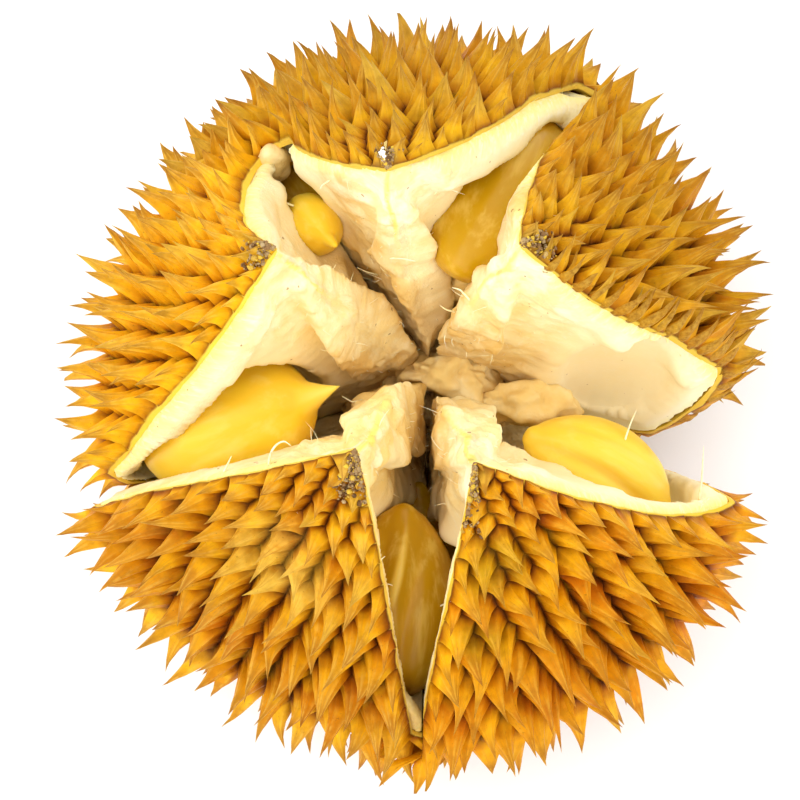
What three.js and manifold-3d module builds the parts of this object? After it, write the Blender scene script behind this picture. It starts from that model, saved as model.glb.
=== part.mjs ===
// An opened durian: a spiny husk split along its five sutures, standing on its stem end, with lobes of
// pulp in the gaps. Millimetres, +Z up. The origin is the centre of the cut stalk's flat face, which rests
// on the ground plane z = 0.
import * as THREE from "three";
import { mergeVertices } from "three/addons/utils/BufferGeometryUtils.js";
import Module from "manifold-3d";

const wasm = await Module();
wasm.setup();

// ---- Driving dimensions of the closed fruit ----
const SKIN_RADIUS = 93.5; // at the equator, to the skin between the spines, where two valves meet
const FLATTENING = 0.075; // how much nearer to the axis the skin is along the middle of a valve
const STEM_DEPTH = 72; // equator to stem end
const CROWN_HEIGHT = 73.5; // equator to blossom end
const EQUATOR_Z = 82;
const STEM_POWER = 2.15; // superellipse exponents of the two halves: the crown is nearly a cone
const CROWN_POWER = 1.15;
const RIND_DEPTH = 4; // ochre outer layer, without its spines
const BAND_DEPTH = 10; // from the skin to the locules, which is the cut band that shows along a torn edge
const FIT_GAP = 0.3; // left between solids that touch

// ---- Spines ----
const SPINE_SPACING = 11;
const SPINE_LENGTH = 14.5;
const SPINE_LEAN = 2.5; // how far a tip droops towards the stem end
const ROW_RATIO = 0.88; // row height over spacing, as in a honeycomb
const END_SHRINK = 0.5; // spacing at the two ends of the fruit, as a share of the full spacing
const FULL_SOON = 1.6; // the higher, the sooner the spacing is full, away from the ends
const HONEYCOMB_SHIFT = 0.16; // how far a valley corner moves out of its row's edge, in row heights
const NARROW_SIZE = 0.45; // size that the very narrowest spine at a torn edge would have
// Random differences between spines, as the full spread: valley corners up or down in row heights and sideways
// in spines, tips sideways in spines, and sizes.
const SPREAD = { up: 0.14, side: 0.3, tip: 0.16, size: 0.3 };
const FIRST_LEVEL = 0.03; // the spiny rows lie between these shares of the way from stem end to blossom end
const LAST_LEVEL = 0.985;
const GROUND_CLEARANCE = 0.3; // the lowest spines are worn short, to this height above the ground

// ---- How the valves have opened: each turns out about a hinge near the stem end ----
const HINGE_RADIUS = 22;
const HINGE_Z = 12;
const ROLL_Z = 42; // height of the point about which a valve rolls sideways
const RAD = Math.PI / 180;
// A valve: azimuth of its middle, outward tilt and sideways roll in degrees, outward shift, and how far the torn
// core reaches past the fruit's axis. Left is counterclockwise from above. A side has its half widths in
// degrees at WIDTH_SHARES, how far its edge is drawn in to the axis as a share of the radius, and the locule in
// its face: azimuth from the valve's middle, centre's radius and height, half sizes outwards, upwards and
// into the face.
const WIDTH_SHARES = [1, 0.85, 0.7, 0.55, 0.3]; // of the way up from stem end to blossom end
const VALVES = [
  {
    name: "back", azimuth: 80, tilt: 18.5, roll: -9, shift: -1.5, reach: 7,
    left: { widths: [72, 62, 48.5, 72, 72], drawn: 0.16,
      locule: { turn: 49, r: 48, z: 76, out: 20, up: 34, depth: 17 } },
    right: { widths: [47, 38, 27, 25.7, 50], drawn: 0,
      locule: { turn: 27, r: 44, z: 82, out: 38, up: 46, depth: 19 } },
  },
  {
    name: "right", azimuth: 30.5, tilt: 16, roll: -4, shift: -4, reach: 10,
    left: { widths: [52, 42, 34.4, 31, 55], drawn: -0.06,
      locule: { turn: 33.5, r: 46, z: 82, out: 38, up: 44, depth: 15 } },
    right: { widths: [60, 50, 37.5, 34.5, 41], drawn: 0.13,
      locule: { turn: 38, r: 50, z: 82, out: 21, up: 34, depth: 9 } },
  },
  {
    name: "front_right", azimuth: -62.5, tilt: 13.5, roll: 2, shift: 5, reach: 14,
    left: { widths: [43, 42, 45, 50.8, 54], drawn: 0.06,
      locule: { turn: 48, r: 54, z: 74, out: 24, up: 38, depth: 18 } },
    right: { widths: [37, 34, 34, 33, 56], drawn: 0,
      locule: { turn: 32, r: 54, z: 78, out: 33, up: 44, depth: 14 } },
  },
  {
    name: "front_left", azimuth: -122.5, tilt: 15, roll: -1, shift: -0.5, reach: 16,
    left: { widths: [46, 39.5, 36.7, 35.9, 52], drawn: 0,
      locule: { turn: 36.5, r: 54, z: 78, out: 33, up: 44, depth: 14 } },
    right: { widths: [44, 43.5, 44.4, 43.3, 44], drawn: 0,
      locule: { turn: 44, r: 54, z: 76, out: 34, up: 42, depth: 18 } },
  },
  {
    name: "left", azimuth: 166.5, tilt: 23, roll: 7.5, shift: -12, reach: 5,
    left: { widths: [62, 51, 40.8, 36.8, 34], drawn: 0.04,
      locule: { turn: 37, r: 52, z: 82, out: 36, up: 43, depth: 21 } },
    right: { widths: [20, 28.5, 46, 76, 76], drawn: 0.1,
      locule: { turn: 46, r: 53, z: 78, out: 21, up: 35, depth: 16 } },
  },
];
// Azimuth of the seam on the left of each valve, in the same order, and the point where the seams meet.
const SEAMS = [125, 59, -9, -89.5, 197];
const CORE = { x: 3, y: 9 };
const SEAM_REACH = 95; // radius at which a seam has its azimuth
const JOINED = 95; // degrees by which a valve passes its seam at the stem end, where the valves still meet

// ---- Pulp lobes ----
// Azimuth, radius and height of a lobe's centre, half sizes [along, across, thick], slope of its long axis, and
// how far its inner end is drawn to a point.
const PULP = [
  { name: "pulp_back_right", azimuth: 66, r: 60, z: 90, half: [41, 24, 19], slope: 40, point: 0.1 },
  { name: "pulp_right", azimuth: -28, r: 61, z: 72, half: [26, 18, 16], slope: 24, point: 0.15 },
  { name: "pulp_front", azimuth: -96.5, r: 64, z: 76, half: [38, 15.5, 15], slope: 46, point: 0.1 },
  { name: "pulp_front_left", azimuth: 193.5, r: 58, z: 80, half: [34, 23, 19], slope: 34, point: 0.5 },
  { name: "pulp_back_left", azimuth: 125, r: 57, z: 86, half: [17, 9, 9], slope: 56, point: 0.5 },
  { name: "pulp_back_left_lower", azimuth: 122, r: 66, z: 58, half: [12, 11, 9], slope: 30, point: 0.1 },
  { name: "pulp_front_lower", azimuth: -91, r: 47, z: 52, half: [20, 15, 12], slope: 40, point: 0.2 },
];
const TAPER = 0.12; // both ends of a lobe are this much slimmer than an ellipsoid's
const POINT_TAPER = 0.45; // and a fully pointed end by this much more

// ---- Stalk ----
const STALK_RADIUS = 11;
const STALK_TOP = 24;
const STALK_FLARE = 2;

const MATERIALS = {
  rind: new THREE.MeshStandardMaterial({ color: 0xc4801a, roughness: 0.6, metalness: 0 }),
  pith: new THREE.MeshStandardMaterial({ color: 0xf6e2b3, roughness: 0.8, metalness: 0 }),
  pulp: new THREE.MeshStandardMaterial({ color: 0xefc02c, roughness: 0.4, metalness: 0 }),
  stalk: new THREE.MeshStandardMaterial({ color: 0x7a5a30, roughness: 0.85, metalness: 0 }),
};

// ---- Small helpers ----

// A repeatable number from 0 to 1 for two whole numbers and a channel.
function hash(i, j, channel) {
  const x = Math.sin(i * 127.1 + j * 311.7 + channel * 74.7) * 43758.5453;
  return x - Math.floor(x);
}

// The closed fruit's skin at a share u of the way from stem end to blossom end: radius, height, outward normal.
function skin(u) {
  const at = (v) => {
    const s = Math.sin(Math.PI * v);
    const c = -Math.cos(Math.PI * v);
    const power = 2 / (c > 0 ? CROWN_POWER : STEM_POWER);
    const half = c > 0 ? CROWN_HEIGHT : STEM_DEPTH;
    return [SKIN_RADIUS * Math.max(s, 0) ** power, EQUATOR_Z + Math.sign(c) * half * Math.abs(c) ** power];
  };
  const step = 0.004;
  const [r, z] = at(u);
  const [r0, z0] = at(Math.max(0, u - step));
  const [r1, z1] = at(Math.min(1, u + step));
  const length = Math.hypot(r1 - r0, z1 - z0);
  return { r, z, nr: (z1 - z0) / length, nz: -(r1 - r0) / length };
}

// Shares u of the way up, at equal steps of arc length of the skin's outline.
const ARC_STEPS = 400;
const arc = [0];
for (let i = 1; i <= ARC_STEPS; i++) {
  const a = skin((i - 1) / ARC_STEPS);
  const b = skin(i / ARC_STEPS);
  arc.push(arc[i - 1] + Math.hypot(b.r - a.r, b.z - a.z));
}
function shareAt(length) {
  let i = 1;
  while (i < ARC_STEPS && arc[i] < length) i++;
  return (i - 1 + (length - arc[i - 1]) / (arc[i] - arc[i - 1])) / ARC_STEPS;
}

// Degrees from one azimuth counterclockwise to another.
function turnTo(from, to) {
  return (((to - from) % 360) + 360) % 360;
}

// Half width of a valve on one side, in radians, at a share u of the way up. Under the last of its listed
// widths it widens past the seam, so that the valves meet at the stem end.
function halfWidth(side, u) {
  const { widths, seam } = side;
  const mix = (from, to, t) => (from + (to - from) * t) * RAD;
  for (let k = 1; k < widths.length; k++) {
    const [high, low] = [WIDTH_SHARES[k - 1], WIDTH_SHARES[k]];
    if (u >= low) return mix(widths[k], widths[k - 1], (u - low) / (high - low));
  }
  const t = 1 - u / WIDTH_SHARES.at(-1);
  return mix(widths.at(-1), seam, t) + JOINED * RAD * t * t;
}

// A point of a valve in its own frame, x out through its middle: a share of the way from its right edge to
// its left one, and off the skin by a height.
function skinPoint(valve, u, share, height) {
  const p = skin(u);
  const [left, right] = [halfWidth(valve.left, u), halfWidth(valve.right, u)];
  const psi = share * (left + right) - right;
  const side = 2 * share - 1;
  const drawn = (side > 0 ? valve.left : valve.right).drawn;
  const flat = 1 - FLATTENING * (1 - side * side) - drawn * side * side;
  const r = Math.max(p.r * flat + height * p.nr, 0.5);
  return new THREE.Vector3(r * Math.cos(psi), r * Math.sin(psi), p.z + height * p.nz);
}

// Collects triangles by vertex number.
class Mesher {
  constructor() {
    this.points = [];
    this.faces = [];
  }
  add(point) {
    return this.points.push(point) - 1;
  }
  face(a, b, c) {
    this.faces.push(a, b, c);
  }
  // Fills the strip between two rows of vertices [share, number], sorted by share. Lean says which way the
  // diagonal of a square cell runs.
  strip(low, high, lean = 1e-9) {
    let i = 0;
    let j = 0;
    while (i < low.length - 1 || j < high.length - 1) {
      const [lowEnds, highEnds] = [i === low.length - 1, j === high.length - 1];
      const stepLow = highEnds || (!lowEnds && low[i + 1][0] - high[j + 1][0] < lean);
      if (stepLow) this.face(low[i][1], low[++i][1], high[j][1]);
      else this.face(low[i][1], high[j + 1][1], high[j++][1]);
    }
  }
  geometry() {
    const g = new THREE.BufferGeometry();
    const positions = this.points.flatMap((p) => [p.x, p.y, p.z]);
    g.setAttribute("position", new THREE.Float32BufferAttribute(positions, 3));
    g.setIndex(this.faces);
    return g;
  }
}

function toSolid(geometry) {
  const g = geometry.clone();
  g.deleteAttribute("normal");
  g.deleteAttribute("uv");
  const merged = mergeVertices(g, 1e-4);
  const vertProperties = merged.attributes.position.array;
  const triVerts = new Uint32Array(merged.index.array);
  return new wasm.Manifold(new wasm.Mesh({ numProp: 3, vertProperties, triVerts }));
}

function toGeometry(solid) {
  const m = solid.getMesh();
  const g = new THREE.BufferGeometry();
  g.setAttribute("position", new THREE.BufferAttribute(new Float32Array(m.vertProperties), 3));
  g.setIndex(new THREE.BufferAttribute(new Uint32Array(m.triVerts), 1));
  g.computeVertexNormals();
  return g;
}

// The biggest body of a solid, without the scraps that a cut has left.
function largest(solid) {
  return solid.decompose().sort((a, b) => b.volume() - a.volume())[0];
}

function makeMesh(name, solid, material) {
  const mesh = new THREE.Mesh(toGeometry(largest(solid)), material);
  mesh.name = name;
  return mesh;
}

// ---- Valves ----

// How a valve has moved from the closed fruit to where it stands.
function opening(valve) {
  const m = new THREE.Matrix4();
  const step = (n) => m.premultiply(n);
  step(new THREE.Matrix4().makeTranslation(0, 0, -ROLL_Z));
  step(new THREE.Matrix4().makeRotationX(valve.roll * RAD));
  step(new THREE.Matrix4().makeTranslation(-HINGE_RADIUS, 0, ROLL_Z - HINGE_Z));
  step(new THREE.Matrix4().makeRotationY(valve.tilt * RAD));
  step(new THREE.Matrix4().makeTranslation(HINGE_RADIUS + valve.shift, 0, HINGE_Z));
  step(new THREE.Matrix4().makeRotationZ(valve.azimuth * RAD));
  return m;
}

// Levels between the rows of spines, as shares of the way up, and the shares across at which each row is
// divided: every second row is half a spine out of step, as in a honeycomb.
function spineRows(valve) {
  const width = (u) => halfWidth(valve.left, u) + halfWidth(valve.right, u);
  const total = arc[ARC_STEPS];
  const full = (s) => Math.min(1, FULL_SOON * Math.sin((Math.PI * s) / total));
  const spacing = (s) => SPINE_SPACING * (END_SHRINK + (1 - END_SHRINK) * full(s));
  const levels = [FIRST_LEVEL];
  const rows = [];
  let s = arc[Math.round(FIRST_LEVEL * ARC_STEPS)];
  const end = arc[Math.round(LAST_LEVEL * ARC_STEPS)];
  while (s < end) {
    const height = Math.min(ROW_RATIO * spacing(s), end - s);
    const middle = shareAt(s + height / 2);
    const count = Math.max(1, Math.round((skin(middle).r * width(middle)) / spacing(s + height / 2)));
    const cuts = [0];
    if (rows.length % 2) for (let k = 0; k < count; k++) cuts.push((k + 0.5) / count);
    else for (let k = 1; k < count; k++) cuts.push(k / count);
    cuts.push(1);
    s += height;
    levels.push(shareAt(s));
    rows.push({ cuts, middle, height, pitch: spacing(s), width: skin(middle).r * width(middle) });
    if (end - s < 2) break;
  }
  return { levels, rows };
}

// Shortens a spine whose tip would touch the ground once the valve has opened.
function wear(tip, foot, matrix) {
  const low = tip.clone().applyMatrix4(matrix).z - GROUND_CLEARANCE;
  const high = foot.clone().applyMatrix4(matrix).z - GROUND_CLEARANCE;
  if (low < 0) tip.lerp(foot, Math.min(0.9, low / (low - high)));
}

// Shares across a valve at which the smooth faces between rind and pith are divided.
const COLUMNS = [0, 0.25, 0.5, 0.75, 1];
// Every second level of the spiny rows, for the same faces.
function smoothLevels(levels) {
  return levels.filter((u, j) => j % 2 === 0 || j === levels.length - 1);
}

// A number within half the spread of zero.
function vary(spread, i, j, channel) {
  return spread * (hash(i, j, channel) - 0.5);
}

// The valley corners along each level, as [share, vertex]: those of the row below, of the row above, or both.
function valleyCorners(mesher, valve, seed, levels, rows) {
  return levels.map((u, j) => {
    const below = j > 0 ? rows[j - 1].cuts : [];
    const above = j < rows.length ? rows[j].cuts : [];
    const all = [...new Set([...below, ...above])].sort((a, b) => a - b);
    const step = j < rows.length ? levels[j + 1] - u : u - levels[j - 1];
    const atEnd = j === 0 || j === rows.length;
    return all.map((share, k) => {
      if (atEnd || k === 0 || k === all.length - 1) return [share, mesher.add(skinPoint(valve, u, share, 0))];
      const turn = (above.includes(share) ? 1 : 0) - (below.includes(share) ? 1 : 0);
      const up = HONEYCOMB_SHIFT * turn + vary(SPREAD.up, j + seed, k, 1);
      const side = vary(SPREAD.side, j + seed, k, 2) / all.length;
      return [share, mesher.add(skinPoint(valve, u + up * step, share + side, 0))];
    });
  });
}

// Adds the pyramid of one spine over the ring of valley corners round it.
function addSpine(mesher, valve, row, from, to, ring, i, j) {
  const wide = Math.min(1, ((to - from) * row.width) / row.height);
  const grown = NARROW_SIZE + (1 - NARROW_SIZE) * wide;
  const size = (row.pitch / SPINE_SPACING) * grown * (1 + vary(SPREAD.size, i, j, 3));
  const share = (from + to) / 2 + (to - from) * vary(SPREAD.tip, i, j, 4);
  const foot = skinPoint(valve, row.middle, share, 0);
  const tip = skinPoint(valve, row.middle, share, SPINE_LENGTH * size);
  const droop = skinPoint(valve, row.middle - 0.01, share, 0).sub(foot).normalize();
  tip.addScaledVector(droop, SPINE_LEAN * size);
  wear(tip, foot, valve.opening);
  const apex = mesher.add(tip);
  ring.forEach((corner, k) => mesher.face(apex, corner, ring[(k + 1) % ring.length]));
}

// The spiny layer of one valve: pyramids side by side outside, a smooth inside, and torn edges between them.
function rindSolid(valve, seed) {
  const { levels, rows } = spineRows(valve);
  const mesher = new Mesher();
  const corners = valleyCorners(mesher, valve, seed, levels, rows);
  rows.forEach((row, j) => {
    for (let k = 0; k + 1 < row.cuts.length; k++) {
      const [from, to] = [row.cuts[k], row.cuts[k + 1]];
      const between = (list) => list.filter(([share]) => share >= from && share <= to).map((c) => c[1]);
      const ring = [...between(corners[j]), ...between(corners[j + 1]).reverse()];
      addSpine(mesher, valve, row, from, to, ring, j + seed, k);
    }
  });
  const smooth = smoothLevels(levels);
  const inner = smooth.map((u) => COLUMNS.map((f) => [f, mesher.add(skinPoint(valve, u, f, -RIND_DEPTH))]));
  for (let j = 0; j + 1 < inner.length; j++) mesher.strip(inner[j + 1], inner[j]);
  // The two torn edges run up the sides of both faces.
  const edgeOf = (lists, at, shares) => lists.map((list, j) => [shares[j], list.at(at)[1]]);
  mesher.strip(edgeOf(corners, 0, levels), edgeOf(inner, 0, smooth));
  mesher.strip(edgeOf(inner, -1, smooth), edgeOf(corners, -1, levels));
  mesher.strip(inner[0], corners[0]);
  mesher.strip(corners.at(-1), inner.at(-1));
  return toSolid(mesher.geometry());
}

const CORE_STEPS = 20; // points of its outline
// The part of the closed fruit that lies deeper than the cut band.
function coreSolid() {
  const profile = [];
  for (let i = 0; i <= CORE_STEPS; i++) {
    const p = skin(i / CORE_STEPS);
    profile.push(new THREE.Vector2(Math.max(0, p.r - BAND_DEPTH * p.nr), p.z - BAND_DEPTH * p.nz));
  }
  profile[0].x = 0;
  profile[CORE_STEPS].x = 0;
  const kept = profile.filter((v, i) => i === 0 || i === CORE_STEPS || v.x > 1);
  const g = new THREE.LatheGeometry(kept, 40);
  g.rotateX(Math.PI / 2);
  return toSolid(g);
}

// The hollow for the pulp in one side face of a valve, in the valve's own frame. Sign is 1 on its left.
function loculeSolid(locule, sign) {
  const g = new THREE.SphereGeometry(1, 18, 12);
  g.scale(locule.out, locule.depth, locule.up);
  g.translate(locule.r, 0, locule.z);
  g.rotateZ(sign * locule.turn * RAD);
  return toSolid(g).intersect(coreBody);
}

// The pale inside of one valve: a wedge from the rind to the torn core, with half a locule hollowed out of
// each side.
const BLUNT = 7; // radius at which the side faces give way to the torn edge
const SHOULDER = 14; // radius of the torn edge's shoulders, and how far round from the side faces they lie
const SHOULDER_TURN = 50;
const TORN = 5; // how far the torn edge wanders
const STEM_SWELL = 0.25; // share of the way up below which it no longer thins out, so that the valves meet
function pithSolid(valve, seed) {
  const mesher = new Mesher();
  const levels = smoothLevels(spineRows(valve).levels);
  const last = levels.length - 1;
  const depth = RIND_DEPTH + FIT_GAP;
  const axisLow = EQUATOR_Z - STEM_DEPTH + depth + 1;
  const axisHigh = EQUATOR_Z + CROWN_HEIGHT - depth - 3;
  const sections = [];
  for (let j = 0; j <= last; j++) {
    const outer = COLUMNS.map((f) => [f, mesher.add(skinPoint(valve, levels[j], f, -depth))]);
    const z = axisLow + ((axisHigh - axisLow) * j) / last;
    const [left, right] = [halfWidth(valve.left, levels[j]), halfWidth(valve.right, levels[j])];
    const swell = Math.sin(Math.PI * Math.max(j / last, STEM_SWELL)); // the torn tissue is thickest half way up
    const blunt = BLUNT * Math.min(1, 2 * swell) + 0.5;
    // Across the torn core: side face, shoulder, furthest reach, shoulder, side face.
    const around = [
      [-right, blunt],
      [-right - SHOULDER_TURN * RAD, SHOULDER * swell],
      [-Math.PI, valve.reach * swell],
      [left + SHOULDER_TURN * RAD - 2 * Math.PI, SHOULDER * swell],
      [left - 2 * Math.PI, blunt],
    ];
    const inner = around.map(([azimuth, reach], k) => {
      const ragged = k === 0 || k === 4 ? 0 : TORN * (hash(j + seed, k, 5) - 0.5) * swell;
      const r = Math.max(0.2, reach + ragged);
      return [k / 4, mesher.add(new THREE.Vector3(r * Math.cos(azimuth), r * Math.sin(azimuth), z))];
    });
    sections.push({ outer, inner });
  }
  for (let j = 0; j < last; j++) {
    const [a, b] = [sections[j], sections[j + 1]];
    mesher.strip(a.outer, b.outer, -1e-9);
    mesher.strip(b.inner, a.inner);
    const [low, high] = [COLUMNS.length - 1, a.inner.length - 1];
    mesher.face(a.outer[0][1], b.outer[0][1], a.inner[0][1]);
    mesher.face(b.outer[0][1], b.inner[0][1], a.inner[0][1]);
    mesher.face(a.outer[low][1], a.inner[high][1], b.outer[low][1]);
    mesher.face(b.outer[low][1], a.inner[high][1], b.inner[high][1]);
  }
  mesher.strip(sections[0].inner, sections[0].outer);
  mesher.strip(sections[last].outer, sections[last].inner);
  return toSolid(mesher.geometry())
    .subtract(loculeSolid(valve.left.locule, 1))
    .subtract(loculeSolid(valve.right.locule, -1));
}

// The space that one valve may fill: above the ground, between its two seams.
const FAR = 3; // how many times as far as its known point a seam runs on
function sectorSolid(leftSeam, rightSeam) {
  const span = turnTo(rightSeam, leftSeam);
  const core = new THREE.Vector2(CORE.x, CORE.y);
  const [start, middle, end] = [0, 0.5, 1].map((t) => {
    const azimuth = (rightSeam + span * t) * RAD;
    const known = new THREE.Vector2(SEAM_REACH * Math.cos(azimuth), SEAM_REACH * Math.sin(azimuth));
    return known.sub(core).multiplyScalar(FAR);
  });
  const inward = start.clone().normalize().add(end.clone().normalize()).normalize();
  const sine = Math.abs(inward.cross(end) / end.length());
  const corner = core.clone().addScaledVector(inward, FIT_GAP / 2 / sine);
  const shape = new THREE.Shape([corner, ...[start, middle, end].map((v) => v.add(corner))]);
  return toSolid(new THREE.ExtrudeGeometry(shape, { depth: SEAM_REACH * FAR, bevelEnabled: false }));
}

// ---- Pulp ----

// One lobe: an egg with one end drawn to a point, turned into its gap. Grow makes it larger all round.
function pulpSolid(lobe, grow) {
  const [along, across, thick] = lobe.half.map((h) => h + grow);
  const g = new THREE.SphereGeometry(1, 16, 12);
  g.rotateZ(Math.PI / 2); // poles at the two ends of the long axis
  const p = g.attributes.position;
  for (let i = 0; i < p.count; i++) {
    const x = p.getX(i);
    const taper = 1 - TAPER * x * x - POINT_TAPER * lobe.point * Math.max(0, -x) ** 2;
    p.setXYZ(i, x * along, p.getY(i) * across * taper, p.getZ(i) * thick * taper);
  }
  g.rotateY(lobe.slope * RAD);
  g.translate(lobe.r, 0, lobe.z);
  g.rotateZ(lobe.azimuth * RAD);
  return toSolid(g);
}

// ---- Stalk ----

function stalkSolid(grow) {
  const profile = [
    [0, -grow],
    [STALK_RADIUS + grow, -grow],
    [STALK_RADIUS + grow, STALK_TOP * 0.6],
    [STALK_RADIUS - STALK_FLARE + grow, STALK_TOP + grow],
    [0, STALK_TOP + grow],
  ];
  const g = new THREE.LatheGeometry(profile.map(([r, z]) => new THREE.Vector2(r, z)), 20);
  g.rotateX(Math.PI / 2);
  return toSolid(g);
}

// ---- Assembly ----

const coreBody = coreSolid();
const durian = new THREE.Group();
durian.name = "durian";
const stalkClearance = stalkSolid(FIT_GAP);
const pulpClearances = PULP.map((lobe) => pulpSolid(lobe, 2 * FIT_GAP));

VALVES.forEach((valve, i) => {
  const [leftSeam, rightSeam] = [SEAMS[i], SEAMS[(i + 1) % SEAMS.length]];
  valve.left.seam = turnTo(valve.azimuth, leftSeam);
  valve.right.seam = turnTo(rightSeam, valve.azimuth);
  valve.opening = opening(valve);
  const matrix = valve.opening.toArray();
  const sector = sectorSolid(leftSeam, rightSeam);
  const place = (solid) => solid.transform(matrix).intersect(sector).subtract(stalkClearance);
  const seed = 20 * (i + 1);
  const rind = place(rindSolid(valve, seed));
  const pith = pulpClearances.reduce((solid, lobe) => solid.subtract(lobe), place(pithSolid(valve, seed)));
  const group = new THREE.Group();
  group.add(makeMesh(`rind_${valve.name}`, rind, MATERIALS.rind));
  group.add(makeMesh(`pith_${valve.name}`, pith, MATERIALS.pith));
  durian.add(group);
});
PULP.forEach((lobe) => durian.add(makeMesh(lobe.name, pulpSolid(lobe, 0), MATERIALS.pulp)));
durian.add(makeMesh("stalk", stalkSolid(0), MATERIALS.stalk));

export default durian;
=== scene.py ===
"""An opened durian: spiny rinds, torn pith, lobes of pulp, a stalk, crumbs and fibres, on a pale floor."""

import functools
import itertools
import math

import bpy
import numpy as np
from mathutils import Matrix, Vector
from mathutils.bvhtree import BVHTree


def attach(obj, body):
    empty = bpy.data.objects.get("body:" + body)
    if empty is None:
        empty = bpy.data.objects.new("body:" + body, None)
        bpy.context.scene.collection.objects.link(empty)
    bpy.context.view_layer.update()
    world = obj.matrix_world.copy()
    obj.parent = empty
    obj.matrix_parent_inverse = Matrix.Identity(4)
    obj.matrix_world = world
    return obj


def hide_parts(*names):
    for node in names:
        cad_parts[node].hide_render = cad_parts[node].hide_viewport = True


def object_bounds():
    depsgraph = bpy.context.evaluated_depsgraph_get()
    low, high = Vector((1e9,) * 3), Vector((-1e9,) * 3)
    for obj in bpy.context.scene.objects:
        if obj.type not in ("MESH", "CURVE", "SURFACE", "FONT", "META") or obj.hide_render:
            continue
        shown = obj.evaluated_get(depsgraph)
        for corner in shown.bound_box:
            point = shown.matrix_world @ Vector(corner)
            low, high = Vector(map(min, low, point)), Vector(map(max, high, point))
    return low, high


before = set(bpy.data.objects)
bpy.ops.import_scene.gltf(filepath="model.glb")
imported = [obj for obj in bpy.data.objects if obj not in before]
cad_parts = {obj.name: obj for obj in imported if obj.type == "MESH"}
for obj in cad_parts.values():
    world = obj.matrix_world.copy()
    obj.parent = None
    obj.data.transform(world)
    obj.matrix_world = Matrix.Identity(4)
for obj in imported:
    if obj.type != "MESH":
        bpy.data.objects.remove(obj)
CAD_LO, CAD_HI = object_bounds()

MM = 0.001
RAD = math.pi / 180

# ---- The closed fruit, in millimetres ----
# A place on a valve's skin is u, the share of the way up, and share, the share of the way across to its left.

SKIN_RADIUS = 93.5
FLATTENING = 0.075
STEM_DEPTH = 72
CROWN_HEIGHT = 73.5
EQUATOR_Z = 82
STEM_POWER = 2.15
CROWN_POWER = 1.15
SPINE_SPACING = 9.8
SPINE_LENGTH = 14.5
SPINE_LEAN = 3.6
ROW_RATIO = 0.88
END_SHRINK = 0.5
FULL_SOON = 1.6
HONEYCOMB_SHIFT = 0.16
NARROW_SIZE = 0.45
SPREAD = {"up": 0.14, "side": 0.3, "tip": 0.16, "size": 0.3, "length": 0.44, "droop": 9, "bend": 1.6}
FIRST_LEVEL = 0.03
LAST_LEVEL = 0.985
GROUND_CLEARANCE = 0.3
HINGE_RADIUS = 22
HINGE_Z = 12
ROLL_Z = 42
WIDTH_SHARES = np.array([1, 0.85, 0.7, 0.55, 0.3])
JOINED = 95
CAD_RIND_DEPTH = 4.3
BAND_DEPTH = 10
SEAMS = [125, 59, -9, -89.5, 197]
CORE = np.array([3.0, 9.0])
SEAM_REACH = 95
SEAM_GAP = 0.08


def table(keys, rows):
    """The rows as dictionaries."""
    return [dict(zip(keys, row)) for row in rows]


# A valve: azimuth of its middle, how it has opened, how orange its skin is together with its painted light
# and shade (how bright it is, and how much shade its valleys get), how golden its pith, its crust of crumbs
# (how many, from which u, and between which shares across), and its left and right side. A side: half widths
# in degrees at WIDTH_SHARES, how far its edge is drawn in, how far its pith stands out past the skin as a
# lip, and its locule as angle, radius, height and half sizes out, up and into the face.
SIDE = ("widths", "drawn", "lip", "locule")
VALVES = table(("name", "azimuth", "tilt", "roll", "shift", "warm", "honey", "crust", "sides"), [
    ("back", 80, 18.5, -9, -1.5, 0.5, 0, [300, 0.92, 0.18, 0.74], (
        ([72, 62, 48.5, 72, 72], 0.16, 1, [49, 48, 76, 20, 34, 17]),
        ([47, 38, 27, 25.7, 50], 0, 5, [27, 44, 82, 38, 46, 19]))),
    ("right", 30.5, 16, -4, -4, 0.55, 0.1, [260, 0.905, 0.05, 0.6], (
        ([52, 42, 34.4, 31, 55], -0.06, 2.5, [33.5, 46, 82, 38, 44, 15]),
        ([60, 50, 37.5, 34.5, 41], 0.13, 2.5, [38, 50, 82, 21, 34, 9]))),
    ("front_right", -62.5, 13.5, 2, 5, 0.75, 0.3, [460, 0.86, 0.0, 0.2], (
        ([43, 42, 45, 50.8, 54], 0.06, 1, [48, 54, 74, 24, 38, 18]),
        ([37, 34, 34, 33, 56], 0, -8, [32, 54, 78, 33, 44, 14]))),
    ("front_left", -122.5, 15, -1, -0.5, 0.8, 1.15, [760, 0.885, 0.5, 1.0], (
        ([46, 39.5, 36.7, 35.9, 52], 0, -9, [36.5, 54, 78, 33, 44, 14]),
        ([44, 43.5, 44.4, 43.3, 44], 0, 0, [44, 54, 76, 34, 42, 18]))),
    ("left", 166.5, 23, 7.5, -12, 0.2, 0.45, [300, 0.9, 0.1, 0.9], (
        ([62, 51, 40.8, 36.8, 34], 0.04, 5, [37, 52, 82, 36, 43, 21]),
        ([20, 28.5, 46, 76, 76], 0.1, 3, [46, 53, 78, 21, 35, 16]))),
])
EDGES = (("left", 1), ("right", -1))


def frac_hash(i, j, channel):
    x = math.sin(i * 127.1 + j * 311.7 + channel * 74.7) * 43758.5453
    return x - math.floor(x)


def vary(spread, i, j, channel):
    return spread * (frac_hash(i, j, channel) - 0.5)


def outline(u):
    """Radius and height of the skin."""
    angle = np.pi * np.asarray(u, float)
    s, c = np.maximum(np.sin(angle), 0), -np.cos(angle)
    power = np.where(c > 0, 2 / CROWN_POWER, 2 / STEM_POWER)
    half = np.where(c > 0, CROWN_HEIGHT, STEM_DEPTH)
    return SKIN_RADIUS * s ** power, EQUATOR_Z + np.sign(c) * half * np.abs(c) ** power


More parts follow.
